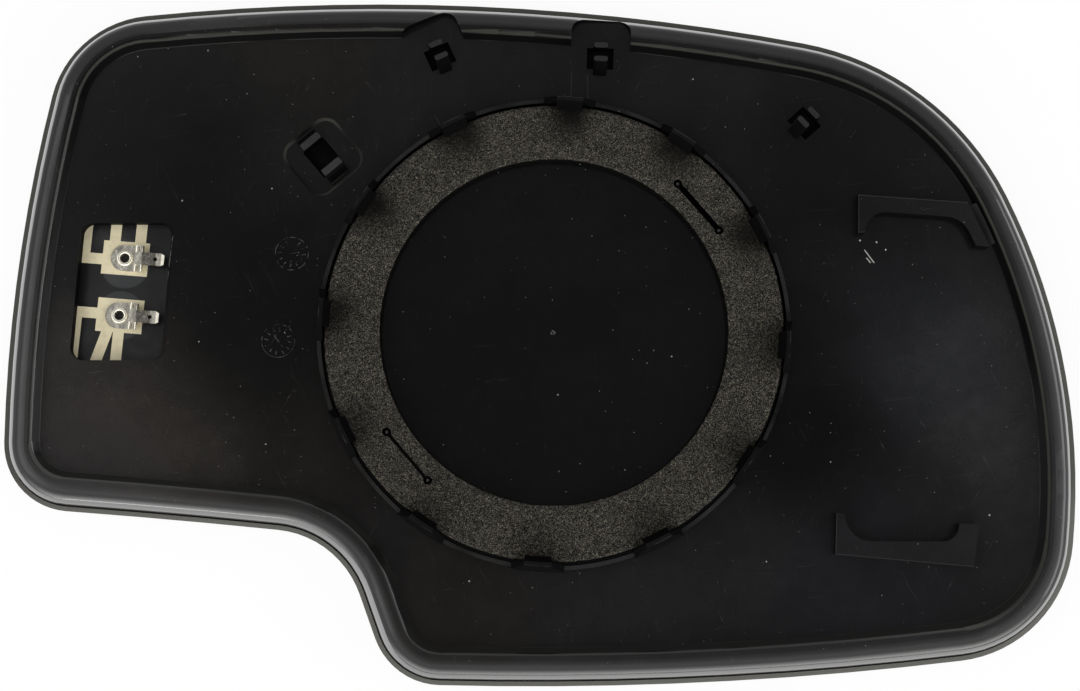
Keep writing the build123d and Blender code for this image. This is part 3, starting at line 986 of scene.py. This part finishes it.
@dataclass(frozen=True)
class PrintedSilver:
    """Cream printed conductor, a little mottled and grainy. Millimetres."""

    cream: Colour = (0.74, 0.66, 0.45, 1.0)
    worn: Colour = (0.62, 0.55, 0.37, 1.0)
    roughness: Pair = (0.5, 0.68)
    relief: float = 0.02
    mottle: Clouds = Clouds(1.8, 3.0)
    mottle_levels: Pair = (0.42, 0.72)
    mottle_gain: float = 0.7
    grain: Clouds = Clouds(0.18)
    grain_levels: Pair = (0.55, 0.8)
    grain_gain: float = 0.3

    def material(self) -> bpy.types.Material:
        """Builds the finish.

        Returns:
            The material.
        """
        sheet = SurfaceSheet("printed_silver")
        spot = sheet.spot()
        mottle = spot.clouds(self.mottle)
        grain = spot.clouds(self.grain)
        worn = mottle.rise(*self.mottle_levels) * self.mottle_gain
        worn = worn + grain.rise(*self.grain_levels) * self.grain_gain
        inputs = {
            "Base Color": sheet.mix(worn, self.cream, self.worn),
            "Roughness": mottle.span(*self.roughness),
            "Normal": sheet.bump(grain, self.relief),
        }
        return sheet.finish(sheet.surface(inputs))


@dataclass(frozen=True)
class TinnedMetal:
    """Tinned metal, bright round the rivets and at the blades' tips, with painted shade on the blades and the
    lugs' round ends. Millimetres.
    """

    bright: Colour = (0.93, 0.89, 0.77, 1.0)
    dull: Colour = (0.6, 0.56, 0.46, 1.0)
    # Colour of the painted shade on the blades and lug ends.
    painted_shade_colour: Colour = (0.2, 0.19, 0.16, 1.0)
    metallic: Pair = (0.95, 0.85)
    roughness: Pair = (0.26, 0.36)
    spots: Clouds = Clouds(0.5, 4.0, 0.65)
    dull_levels: Pair = (0.5, 0.72)
    dull_strength: float = 0.7
    # The next two settings break up the painted shade.
    shade_levels: Pair = (0.3, 0.6)
    shade_share: Pair = (0.5, 1.0)
    dimples: Clouds = Clouds(2.2, 2.0, 0.4)
    dimple_depth: float = 0.16
    lug_half_width: Pair = (4.5, 4.0)
    end_reach: Pair = (2.3, 3.6)
    end_from: Pair = (0.5, -1.5)
    end_strength: float = 0.6
    blade_start: Pair = (4.1, 4.3)
    blade_tip: Pair = (7.5, 7.2)

    def painted_shade(self, spot: Spot) -> Value:
        """Masks painted shade on the blades short of their tips, and on the round end of each lug.

        Args:
            spot: the point of the surface.

        Returns:
            The mask.
        """
        masks = []
        for rivet in RIVETS:
            across = spot.x - rivet[0]
            level = abs(spot.y - rivet[1]).rise(*self.lug_half_width)
            blade = across.between(self.blade_start, self.blade_tip)
            end = spot.from_point(rivet).rise(*self.end_reach) * across.rise(*self.end_from)
            masks.append((blade | end * self.end_strength) * level)
        return reduce(or_, masks)

    def material(self) -> bpy.types.Material:
        """Builds the finish.

        Returns:
            The material.
        """
        sheet = SurfaceSheet("tinned_metal")
        spot = sheet.spot()
        spots = spot.clouds(self.spots)
        dulled = spots.rise(*self.dull_levels)
        # dark is painted shade, broken by the spots.
        dark = self.painted_shade(spot) * spots.rise(*self.shade_levels).span(*self.shade_share)
        colour = sheet.mix(dulled * self.dull_strength, self.bright, self.dull)
        inputs = {
            "Base Color": sheet.mix(dark, colour, self.painted_shade_colour),
            "Metallic": dulled.span(*self.metallic),
            "Roughness": dulled.span(*self.roughness),
            "Normal": sheet.bump(spot.clouds(self.dimples), self.dimple_depth),
        }
        return sheet.finish(sheet.surface(inputs))


@dataclass(frozen=True)
class SilveredGlass:
    """Silvered glass with a clear front, the faintest fingerprints and a black painted back. Millimetres."""

    silver: Colour = (0.86, 0.88, 0.885, 1.0)
    shade: Colour = (0.8, 0.83, 0.84, 1.0)
    back: Colour = (0.003, 0.003, 0.003, 1.0)
    polish: float = 0.015
    print_roughness: float = 0.12
    back_roughness: float = 0.6
    coat: float = 0.6
    coat_roughness: float = 0.02
    touched: Clouds = Clouds(26.0, 4.0, 0.6, (0.5, 0.75))
    touch_strength: float = 0.5
    print_lines: Clouds = Clouds(1.0, 2.0, turn=30.0, stretch=(2.4, 20.0, 1.0))

    def material(self) -> bpy.types.Material:
        """Builds the finish.

        Returns:
            The material.
        """
        sheet = SurfaceSheet("silvered_glass")
        spot = sheet.spot()
        up = spot.up()
        touch = spot.clouds(self.touched)
        colour = sheet.mix(touch * self.touch_strength, self.silver, self.shade)
        prints = touch * spot.clouds(self.print_lines) * self.print_roughness
        inputs = {
            "Base Color": sheet.mix(up, colour, self.back),
            "Metallic": 1 - up,
            "Roughness": prints + up * self.back_roughness + self.polish,
            "Coat Weight": (1 - up) * self.coat,
            "Coat Roughness": self.coat_roughness,
        }
        return sheet.finish(sheet.surface(inputs))


@dataclass(frozen=True)
class BondingSheet:
    """Dull black bonding sheet, brownish and a little fibrous, seen down the clip holes. Millimetres."""

    dark: Colour = (0.0016, 0.0011, 0.001, 1.0)
    fibre: Colour = (0.006, 0.0045, 0.004, 1.0)
    roughness: Pair = (0.75, 0.95)
    specular: float = 0.1
    relief: float = 0.04
    fibres: Clouds = Clouds(1.0, 3.0, turn=35.0, stretch=(0.5, 2.5, 1.0))
    fibre_levels: Pair = (0.4, 0.8)

    def material(self) -> bpy.types.Material:
        """Builds the finish.

        Returns:
            The material.
        """
        sheet = SurfaceSheet("bonding_sheet")
        fibres = sheet.spot().clouds(self.fibres)
        inputs = {
            "Base Color": sheet.mix(fibres.rise(*self.fibre_levels), self.dark, self.fibre),
            "Roughness": fibres.span(*self.roughness),
            "Specular IOR Level": self.specular,
            "Normal": sheet.bump(fibres, self.relief),
        }
        return sheet.finish(sheet.surface(inputs))


class Bench:
    """Modelling moves that several pieces share. Places and sizes are given in millimetres."""

    @staticmethod
    def clear() -> None:
        """Leaves edit mode and deselects everything."""
        if bpy.context.object is not None and bpy.context.object.mode != "OBJECT":
            bpy.ops.object.mode_set(mode="OBJECT")
        bpy.ops.object.select_all(action="DESELECT")

    @staticmethod
    def take(piece: bpy.types.Object) -> None:
        """Makes one object the selected and active one.

        Args:
            piece: the object.
        """
        Bench.clear()
        piece.select_set(True)
        bpy.context.view_layer.objects.active = piece

    @staticmethod
    def settle(piece: bpy.types.Object) -> None:
        """Puts an object's place into its mesh."""
        Bench.take(piece)
        bpy.ops.object.transform_apply(location=True, rotation=True, scale=True)

    @staticmethod
    def smooth(piece: bpy.types.Object) -> None:
        """Shades an object smooth, apart from its sharp edges."""
        Bench.take(piece)
        bpy.ops.object.shade_smooth_by_angle(angle=SMOOTH_UP_TO)

    @staticmethod
    def block(middle: Sequence[float], turn: float, size: Sequence[float]) -> bpy.types.Object:
        """Adds a block.

        Args:
            middle: where its middle goes.
            turn: its turn about the upright axis, in radians.
            size: its length, width and height.

        Returns:
            The block.
        """
        Bench.clear()
        bpy.ops.mesh.primitive_cube_add(size=1.0, location=Vector(middle) * MM, rotation=(0.0, 0.0, turn))
        bpy.ops.transform.resize(value=[length * MM for length in size], orient_type="LOCAL")
        return bpy.context.object

    @staticmethod
    def drum(
        sides: int,
        radius: float,
        depth: float,
        middle: Sequence[float],
        turn: float = 0.0,
    ) -> bpy.types.Object:
        """Adds an upright drum.

        Args:
            sides: how many sides it has.
            radius: its radius.
            depth: its height.
            middle: where its middle goes.
            turn: its turn about the upright axis, in radians.

        Returns:
            The drum.
        """
        Bench.clear()
        bpy.ops.mesh.primitive_cylinder_add(
            vertices=sides,
            radius=radius * MM,
            depth=depth * MM,
            end_fill_type="NGON",
            location=[place * MM for place in middle],
            rotation=(0.0, 0.0, turn),
        )
        return bpy.context.object

    @staticmethod
    def apply(piece: bpy.types.Object, kind: str, settings: Mapping[str, Any]) -> None:
        """Adds a modifier and applies it.

        Args:
            piece: the object.
            kind: the modifier's type.
            settings: its settings.
        """
        Bench.take(piece)
        modifier = piece.modifiers.new(kind.lower(), kind)
        for name, setting in settings.items():
            setattr(modifier, name, setting)
        bpy.ops.object.modifier_apply(modifier=modifier.name)

    @staticmethod
    def pick_faces(piece: bpy.types.Object, wanted: Callable[[Vector], bool]) -> None:
        """Enters edit mode with only some faces selected.

        Args:
            piece: the active object.
            wanted: a test of a face's normal.
        """
        bpy.ops.object.mode_set(mode="EDIT")
        bpy.ops.mesh.select_all(action="DESELECT")
        bpy.ops.mesh.select_mode(type="FACE")
        bpy.ops.object.mode_set(mode="OBJECT")
        for polygon in piece.data.polygons:
            polygon.select = bool(wanted(polygon.normal))
        bpy.ops.object.mode_set(mode="EDIT")

    @staticmethod
    def pick_top(piece: bpy.types.Object) -> None:
        """Enters edit mode with the faces selected that point up."""
        Bench.pick_faces(piece, lambda normal: normal.z > FLAT)

    @staticmethod
    def cut(piece: bpy.types.Object, cutter: bpy.types.Object) -> None:
        """Cuts one object out of another and removes the cutter.

        Args:
            piece: the object that is cut.
            cutter: the object that is taken away.
        """
        Bench.settle(cutter)
        faces = len(piece.data.polygons)
        Bench.apply(piece, "BOOLEAN", {"operation": "DIFFERENCE", "solver": "EXACT", "object": cutter})
        bpy.data.objects.remove(cutter, do_unlink=True)
        if len(piece.data.polygons) < faces / 2:
            raise RuntimeError(f"{piece.name} was lost in a cut")

    @staticmethod
    def join(pieces: Sequence[bpy.types.Object], name: str) -> bpy.types.Object:
        """Joins objects into the first of them.

        Args:
            pieces: the objects.
            name: the joined object's name.

        Returns:
            The joined object.
        """
        Bench.take(pieces[0])
        for piece in pieces[1:]:
            piece.select_set(True)
        bpy.ops.object.join()
        pieces[0].name = name
        return pieces[0]

    @staticmethod
    def dress(piece: bpy.types.Object, material: bpy.types.Material) -> None:
        """Gives an object one material."""
        piece.data.materials.clear()
        piece.data.materials.append(material)


@dataclass
class FoamRing:
    """The die-cut foam ring under the actuator, with two dumb-bell slits over the pins. Millimetres."""

    outer_radius: float = 50.8
    inner_radius: float = 38.35
    thickness: float = 2.95
    lifted: float = 0.02
    sides: int = 192
    slit_radius: float = 42.4
    slit_angle: float = 40.7
    slit_length: float = 13.9
    slit_widths: Pair = (1.25, 0.65)
    cutter_depth: float = 11.8
    eye_radius: float = 0.92
    eye_sides: int = 24
    cell_size: float = 0.42
    cell_depth: float = 0.12
    cell_spread: float = 0.8
    cell_layers: int = 2
    cell_level: float = 0.85

    def slit_turns(self) -> tuple[float, float]:
        """Gives the directions of both slits from the hub, in radians."""
        return (math.radians(self.slit_angle), math.radians(self.slit_angle + 180.0))

    def pin_places(self) -> list[Point]:
        """Lists where the plate's pins stand, at the ends of both slits.

        Returns:
            Their places.
        """
        places = []
        for turn in self.slit_turns():
            for end in (-self.slit_length / 2, self.slit_length / 2):
                across = self.slit_radius * math.cos(turn) - end * math.sin(turn)
                along = self.slit_radius * math.sin(turn) + end * math.cos(turn)
                places.append((HUB[0] + across, HUB[1] + along))
        return places

    def blank(self) -> bpy.types.Object:
        """Makes the ring from a disc: inset from both faces, opened and bridged.

        Returns:
            The ring.
        """
        middle = (*HUB, Level.PLATE + self.lifted + self.thickness / 2)
        ring = Bench.drum(self.sides, self.outer_radius, self.thickness, middle)
        ring.name = "foam_pad"
        Bench.pick_faces(ring, lambda normal: abs(normal.z) > FLAT)
        bpy.ops.mesh.inset(thickness=(self.outer_radius - self.inner_radius) * MM)
        bpy.ops.mesh.delete(type="ONLY_FACE")
        bpy.ops.mesh.select_all(action="DESELECT")
        bpy.ops.mesh.select_mode(type="EDGE")
        bpy.ops.mesh.select_non_manifold(extend=False)
        bpy.ops.mesh.bridge_edge_loops()
        bpy.ops.mesh.select_all(action="SELECT")
        bpy.ops.mesh.normals_make_consistent(inside=False)
        Bench.settle(ring)
        return ring

    def slits(self, ring: bpy.types.Object) -> None:
        """Cuts both slits with a round eye at each end.

        Args:
            ring: the ring.
        """
        depth = self.cutter_depth
        for turn, width in zip(self.slit_turns(), self.slit_widths):
            outward = Vector((math.cos(turn), math.sin(turn), 0.0))
            along = Vector((-math.sin(turn), math.cos(turn), 0.0))
            middle = Vector((*HUB, Level.PLATE + self.thickness / 2)) + outward * self.slit_radius
            Bench.cut(ring, Bench.block(middle, turn, (width, self.slit_length, depth)))
            for end in (-0.5, 0.5):
                place = middle + along * end * self.slit_length
                Bench.cut(ring, Bench.drum(self.eye_sides, self.eye_radius, depth, place))

    def divide(self, ring: bpy.types.Object) -> None:
        """Divides the ring into faces of one cell each."""
        settings = {"mode": "VOXEL", "voxel_size": self.cell_size * MM, "use_smooth_shade": True}
        Bench.apply(ring, "REMESH", settings)

    def cells(self, ring: bpy.types.Object) -> None:
        """Presses shallow open cells into the surface.

        Args:
            ring: the ring.
        """
        clouds = bpy.data.textures.new("foam_cells", type="CLOUDS")
        clouds.noise_scale = self.cell_spread * MM
        clouds.noise_depth = self.cell_layers
        settings = {
            "texture": clouds,
            "texture_coords": "LOCAL",
            "strength": self.cell_depth * MM,
            "mid_level": self.cell_level,
        }
        Bench.apply(ring, "DISPLACE", settings)

    def build(self) -> bpy.types.Object:
        """Builds the ring, dresses it and puts it in the solid's place.

        Returns:
            The ring.
        """
        ring = self.blank()
        self.divide(ring)
        self.slits(ring)
        self.cells(ring)
        Bench.dress(ring, OpenCellFoam().material())
        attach(ring, ROOT)
        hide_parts("foam_ring")
        return ring


@dataclass
class DateDial:
    """A moulded date dial without figures: a ring, ticks and an arrow. Millimetres."""

    radius: float = 3.8
    sides: int = 72
    ring_width: float = 0.22
    floor_height: float = 0.03
    ring_height: float = 0.16
    sunk: float = 0.1
    tick_count: int = 12
    tick_length: float = 1.15
    tick_width: float = 0.4
    tick_radius: float = 2.7
    arrow_length: float = 3.6
    arrow_width: float = 0.42
    head_length: float = 1.2
    head_width: float = 1.1
    bar_taper: tuple[float, float, float] = (0.9, 0.6, 1.0)
    head_taper: tuple[float, float, float] = (0.75, 0.75, 1.0)

    @property
    def depth(self) -> float:
        """How deep its pieces are, with what is sunk into the plate."""
        return self.ring_height + self.sunk

    @property
    def middle(self) -> float:
        """How high the middle of its pieces lies above the plate."""
        return self.depth / 2 - self.sunk

    def disc(self) -> bpy.types.Object:
        """Makes the insert's disc, its floor sunk from an inset face.

        Returns:
            The disc.
        """
        disc = Bench.drum(self.sides, self.radius, self.depth, (0.0, 0.0, self.middle))
        Bench.pick_top(disc)
        bpy.ops.mesh.inset(thickness=self.ring_width * MM)
        drop = (0.0, 0.0, (self.floor_height - self.ring_height) * MM)
        bpy.ops.mesh.extrude_region_move(TRANSFORM_OT_translate={"value": drop})
        Bench.settle(disc)
        return disc

    def bar(self, length: float, width: float, radius: float, turn: float) -> bpy.types.Object:
        """Makes a small raised bar that points away from the middle.

        Args:
            length: its length.
            width: its width.
            radius: how far its middle lies from the dial's.
            turn: its direction, in degrees.

        Returns:
            The bar.
        """
        lean = math.radians(turn)
        place = Matrix.Rotation(lean, 4, "Z") @ Vector((radius, 0.0, 0.0))
        bar = Bench.block((place.x, place.y, self.middle), lean, (length, width, self.depth))
        Bench.pick_top(bar)
        bpy.ops.transform.resize(value=self.bar_taper)
        Bench.settle(bar)
        return bar

    def head(self) -> bpy.types.Object:
        """Makes the arrow's head.

        Returns:
            The head.
        """
        place = (self.arrow_length / 2 - self.head_length / 3, 0.0, self.middle)
        head = Bench.drum(3, self.head_width / math.sqrt(3.0), self.depth, place, -math.pi / 2)
        Bench.pick_top(head)
        bpy.ops.transform.resize(value=self.head_taper)
        Bench.settle(head)
        return head

    def pattern(self) -> bpy.types.Object:
        """Models the dial once, at the origin with its arrow along +X.

        Returns:
            The modelled dial.
        """
        step = 360.0 / self.tick_count
        turns = [step * (number + 0.5) for number in range(self.tick_count)]
        ticks = [self.bar(self.tick_length, self.tick_width, self.tick_radius, turn) for turn in turns]
        shaft = self.bar(self.arrow_length, self.arrow_width, 0.0, 0.0)
        dial = Bench.join([self.disc(), shaft, self.head(), *ticks], "dial_pattern")
        Bench.smooth(dial)
        return dial

    def place(self, pattern: bpy.types.Object, name: str, centre: Point, turn: float) -> bpy.types.Object:
        """Copies the modelled dial to its place on the plate.

        Args:
            pattern: the modelled dial.
            name: the copy's name.
            centre: where it goes.
            turn: where its arrow points, in degrees.

        Returns:
            The placed dial.
        """
        dial = pattern.copy()
        dial.data = pattern.data.copy()
        dial.name = name
        bpy.context.scene.collection.objects.link(dial)
        dial.location = (centre[0] * MM, centre[1] * MM, Level.PLATE * MM)
        dial.rotation_euler = (0.0, 0.0, math.radians(turn))
        Bench.settle(dial)
        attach(dial, ROOT)
        return dial


@dataclass
class LegWeb:
    """The low web that ties the upper bracket's outer leg to the rim. Millimetres."""

    leg_back: Point = (95.8, 29.1)
    leg_tip: Point = (100.0, 19.95)
    width: float = 2.9
    overlap: float = 0.2
    top: float = 7.8
    sunk: float = 0.2
    edge_round: float = 0.15
    round_steps: int = 3

    def build(self, black: bpy.types.Material) -> bpy.types.Object:
        """Makes the web from a block with bevelled edges.

        Args:
            black: its finish.

        Returns:
            The web.
        """
        start, end = Vector(self.leg_back), Vector(self.leg_tip)
        run = end - start
        outward = Vector((-run.y, run.x)).normalized()
        middle = (start + end) / 2 + outward * (self.width / 2 - self.overlap)
        low = Level.PLATE - self.sunk
        place = (middle.x, middle.y, (low + self.top) / 2)
        web = Bench.block(place, math.atan2(run.y, run.x), (run.length, self.width, self.top - low))
        web.name = "upper_bracket_web"
        Bench.settle(web)
        Bench.pick_top(web)
        bpy.ops.mesh.bevel(offset=self.edge_round * MM, segments=self.round_steps, affect="EDGES")
        Bench.smooth(web)
        Bench.dress(web, black)
        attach(web, ROOT)
        return web


@dataclass
class Moulding:
    """The backing plate, the web of its upper bracket and the dials moulded into it."""

    dial_names: tuple[str, str] = ("upper_date_dial", "lower_date_dial")
    dial_turns: Pair = (190.0, 128.0)

    def build(self) -> list[bpy.types.Object]:
        """Dresses the plate and adds the web and both dials.

        Returns:
            The new pieces.
        """
        black = BlackMoulding().material()
        Bench.dress(frame["nodes"]["backing_plate"], black)
        dial = DateDial()
        pattern = dial.pattern()
        Bench.dress(pattern, black)
        placed = [LegWeb().build(black)]
        for name, centre, turn in zip(self.dial_names, DIALS, self.dial_turns):
            placed.append(dial.place(pattern, name, centre, turn))
        bpy.data.objects.remove(pattern, do_unlink=True)
        return placed


@dataclass
class HeatedGlass:
    """The glass with its film, bonding sheet, prints, terminals and rivets."""

    prints: tuple[str, ...] = ("upper_trace", "lower_trace")
    metals: tuple[str, ...] = ("upper_terminal", "lower_terminal", "upper_rivet", "lower_rivet")

    def build(self) -> None:
        """Dresses the solids."""
        finishes = (
            (PrintedSilver(), self.prints),
            (TinnedMetal(), self.metals),
            (SilveredGlass(), ("mirror_glass",)),
            (HeaterFilm(), ("heater_film",)),
            (BondingSheet(), ("bonding_sheet",)),
        )
        for finish, nodes in finishes:
            material = finish.material()
            for node in nodes:
                Bench.dress(frame["nodes"][node], material)


@dataclass(frozen=True)
class SoftBox:
    """A studio light: where it stands round the object, its size in metres and how bright its face is."""

    name: str
    azimuth: float
    elevation: float
    distance: float
    width: float
    height: float
    radiance: float

    def build(self) -> None:
        """Adds the light, turned towards the object."""
        turn, rise = math.radians(self.azimuth), math.radians(self.elevation)
        away = Vector((math.cos(turn) * math.cos(rise), math.sin(turn) * math.cos(rise), math.sin(rise)))
        Bench.clear()
        bpy.ops.object.light_add(type="AREA", location=away * self.distance)
        lamp = bpy.context.object
        lamp.name = self.name
        lamp.rotation_mode = "QUATERNION"
        lamp.rotation_quaternion = away.to_track_quat("Z", "Y")
        lamp.data.shape = "RECTANGLE"
        lamp.data.size = self.width
        lamp.data.size_y = self.height
        lamp.data.energy = POWER_PER_RADIANCE * self.radiance * self.width * self.height


@dataclass
class Studio:
    """The white table, the lights round it, the dim room above it and the camera.

    The room's parts are bounded by parts of a direction, and the camera's place is in millimetres.
    """

    table_size: float = 6.0
    table_white: Colour = (0.95, 0.95, 0.95, 1.0)
    table_glow: float = 0.9
    room_top: Colour = (0.072, 0.072, 0.074, 1.0)
    room_side: Colour = (1.2, 1.2, 1.2, 1.0)
    room_far_side: Colour = (0.7, 0.7, 0.7, 1.0)
    room_near_side: Colour = (5.8, 5.8, 5.7, 1.0)
    top_from: Pair = (0.985, 0.76)
    far_side_from: Pair = (-0.3, 0.5)
    near_side_from: Pair = (-0.35, -0.9)
    near_side_height: Pair = (0.62, 0.0)
    soft_boxes: tuple[SoftBox, ...] = (
        SoftBox(
            name="outer_end_light",
            azimuth=0.0,
            elevation=17.0,
            distance=1.0,
            width=1.0,
            height=0.24,
            radiance=2.2,
        ),
        SoftBox(
            name="inner_end_light",
            azimuth=180.0,
            elevation=45.0,
            distance=1.1,
            width=0.8,
            height=0.5,
            radiance=1.0,
        ),
    )
    target: tuple[float, float, float] = (0.17, -2.04, 6.5)
    tilt: float = 6.0
    camera_distance: float = 340.0
    camera_near: float = 10.0
    lens: float = 51.0
    sensor: float = 36.0

    def rays(self, sheet: NodeSheet, names: Sequence[str]) -> Value:
        """Masks the kinds of ray that those outputs of the light path name."""
        path = sheet.node("ShaderNodeLightPath").outputs
        return reduce(or_, [Value(sheet, path[name]) for name in names])

    def table(self) -> None:
        """Lays the white table, which glows where it is seen straight, mirrored or through glass."""
        Bench.clear()
        bpy.ops.mesh.primitive_plane_add(size=self.table_size, location=(0.0, 0.0, 0.0))
        table = bpy.context.object
        table.name = "table"
        sheet = SurfaceSheet("white_table")
        matt = sheet.node("ShaderNodeBsdfDiffuse", inputs={"Color": self.table_white}).outputs[0]
        glow = sheet.node("ShaderNodeEmission", inputs={"Color": WHITE, "Strength": 1.0}).outputs[0]
        seen = self.rays(sheet, ("Is Camera Ray", "Is Glossy Ray", "Is Transmission Ray"))
        Bench.dress(table, sheet.finish(sheet.blend(seen * self.table_glow, matt, glow)))
        table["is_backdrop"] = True

    def room(self) -> None:
        """Fills the room: dark overhead, pale walls, a low bright band beyond the object's bottom edge."""
        world = bpy.data.worlds.new("room")
        bpy.context.scene.world = world
        world.use_nodes = True
        sheet = NodeSheet(world.node_tree)
        _, y, z = sheet.parts(sheet.node("ShaderNodeTexCoord").outputs["Generated"])
        walls = sheet.mix(y.rise(*self.far_side_from), self.room_side, self.room_far_side)
        near_side = y.rise(*self.near_side_from) * z.rise(*self.near_side_height)
        walls = sheet.mix(near_side, walls, self.room_near_side)
        colour = sheet.mix(z.rise(*self.top_from), self.room_top, walls)
        colour = sheet.mix(self.rays(sheet, ("Is Camera Ray",)), colour, WHITE)
        glow = sheet.node("ShaderNodeBackground", inputs={"Color": colour, "Strength": 1.0})
        sheet.node("ShaderNodeOutputWorld", inputs={"Surface": glow.outputs[0]})

    def camera(self) -> None:
        """Sets the camera nearly straight above the back."""
        lean = math.radians(self.tilt)
        back = Vector((0.0, -math.sin(lean), math.cos(lean)))
        data = bpy.data.cameras.new("camera")
        camera = bpy.data.objects.new("camera", data)
        bpy.context.scene.collection.objects.link(camera)
        camera.location = Vector(self.target) * MM + back * self.camera_distance * MM
        camera.rotation_mode = "QUATERNION"
        camera.rotation_quaternion = back.to_track_quat("Z", "Y")
        data.lens = self.lens
        data.sensor_width = self.sensor
        data.sensor_fit = "HORIZONTAL"
        data.clip_start = self.camera_near * MM
        bpy.context.scene.camera = camera

    def build(self) -> None:
        """Builds the studio, with a light beyond each end of the object."""
        self.table()
        self.room()
        for box in self.soft_boxes:
            box.build()
        self.camera()
        bpy.context.scene.view_settings.view_transform = "Standard"


def main() -> None:
    """Builds the dressed part and its studio, and reports each new piece."""
    logging.basicConfig(level=logging.INFO, format="%(name)s: %(message)s")
    solid_box = tuple(corner.copy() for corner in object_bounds())
    Studio().build()
    HeatedGlass().build()
    made = [*Moulding().build(), FoamRing().build()]
    for piece in made:
        log.info("%s has %d faces", piece.name, len(piece.data.polygons))


if __name__ == "__main__":
    main()
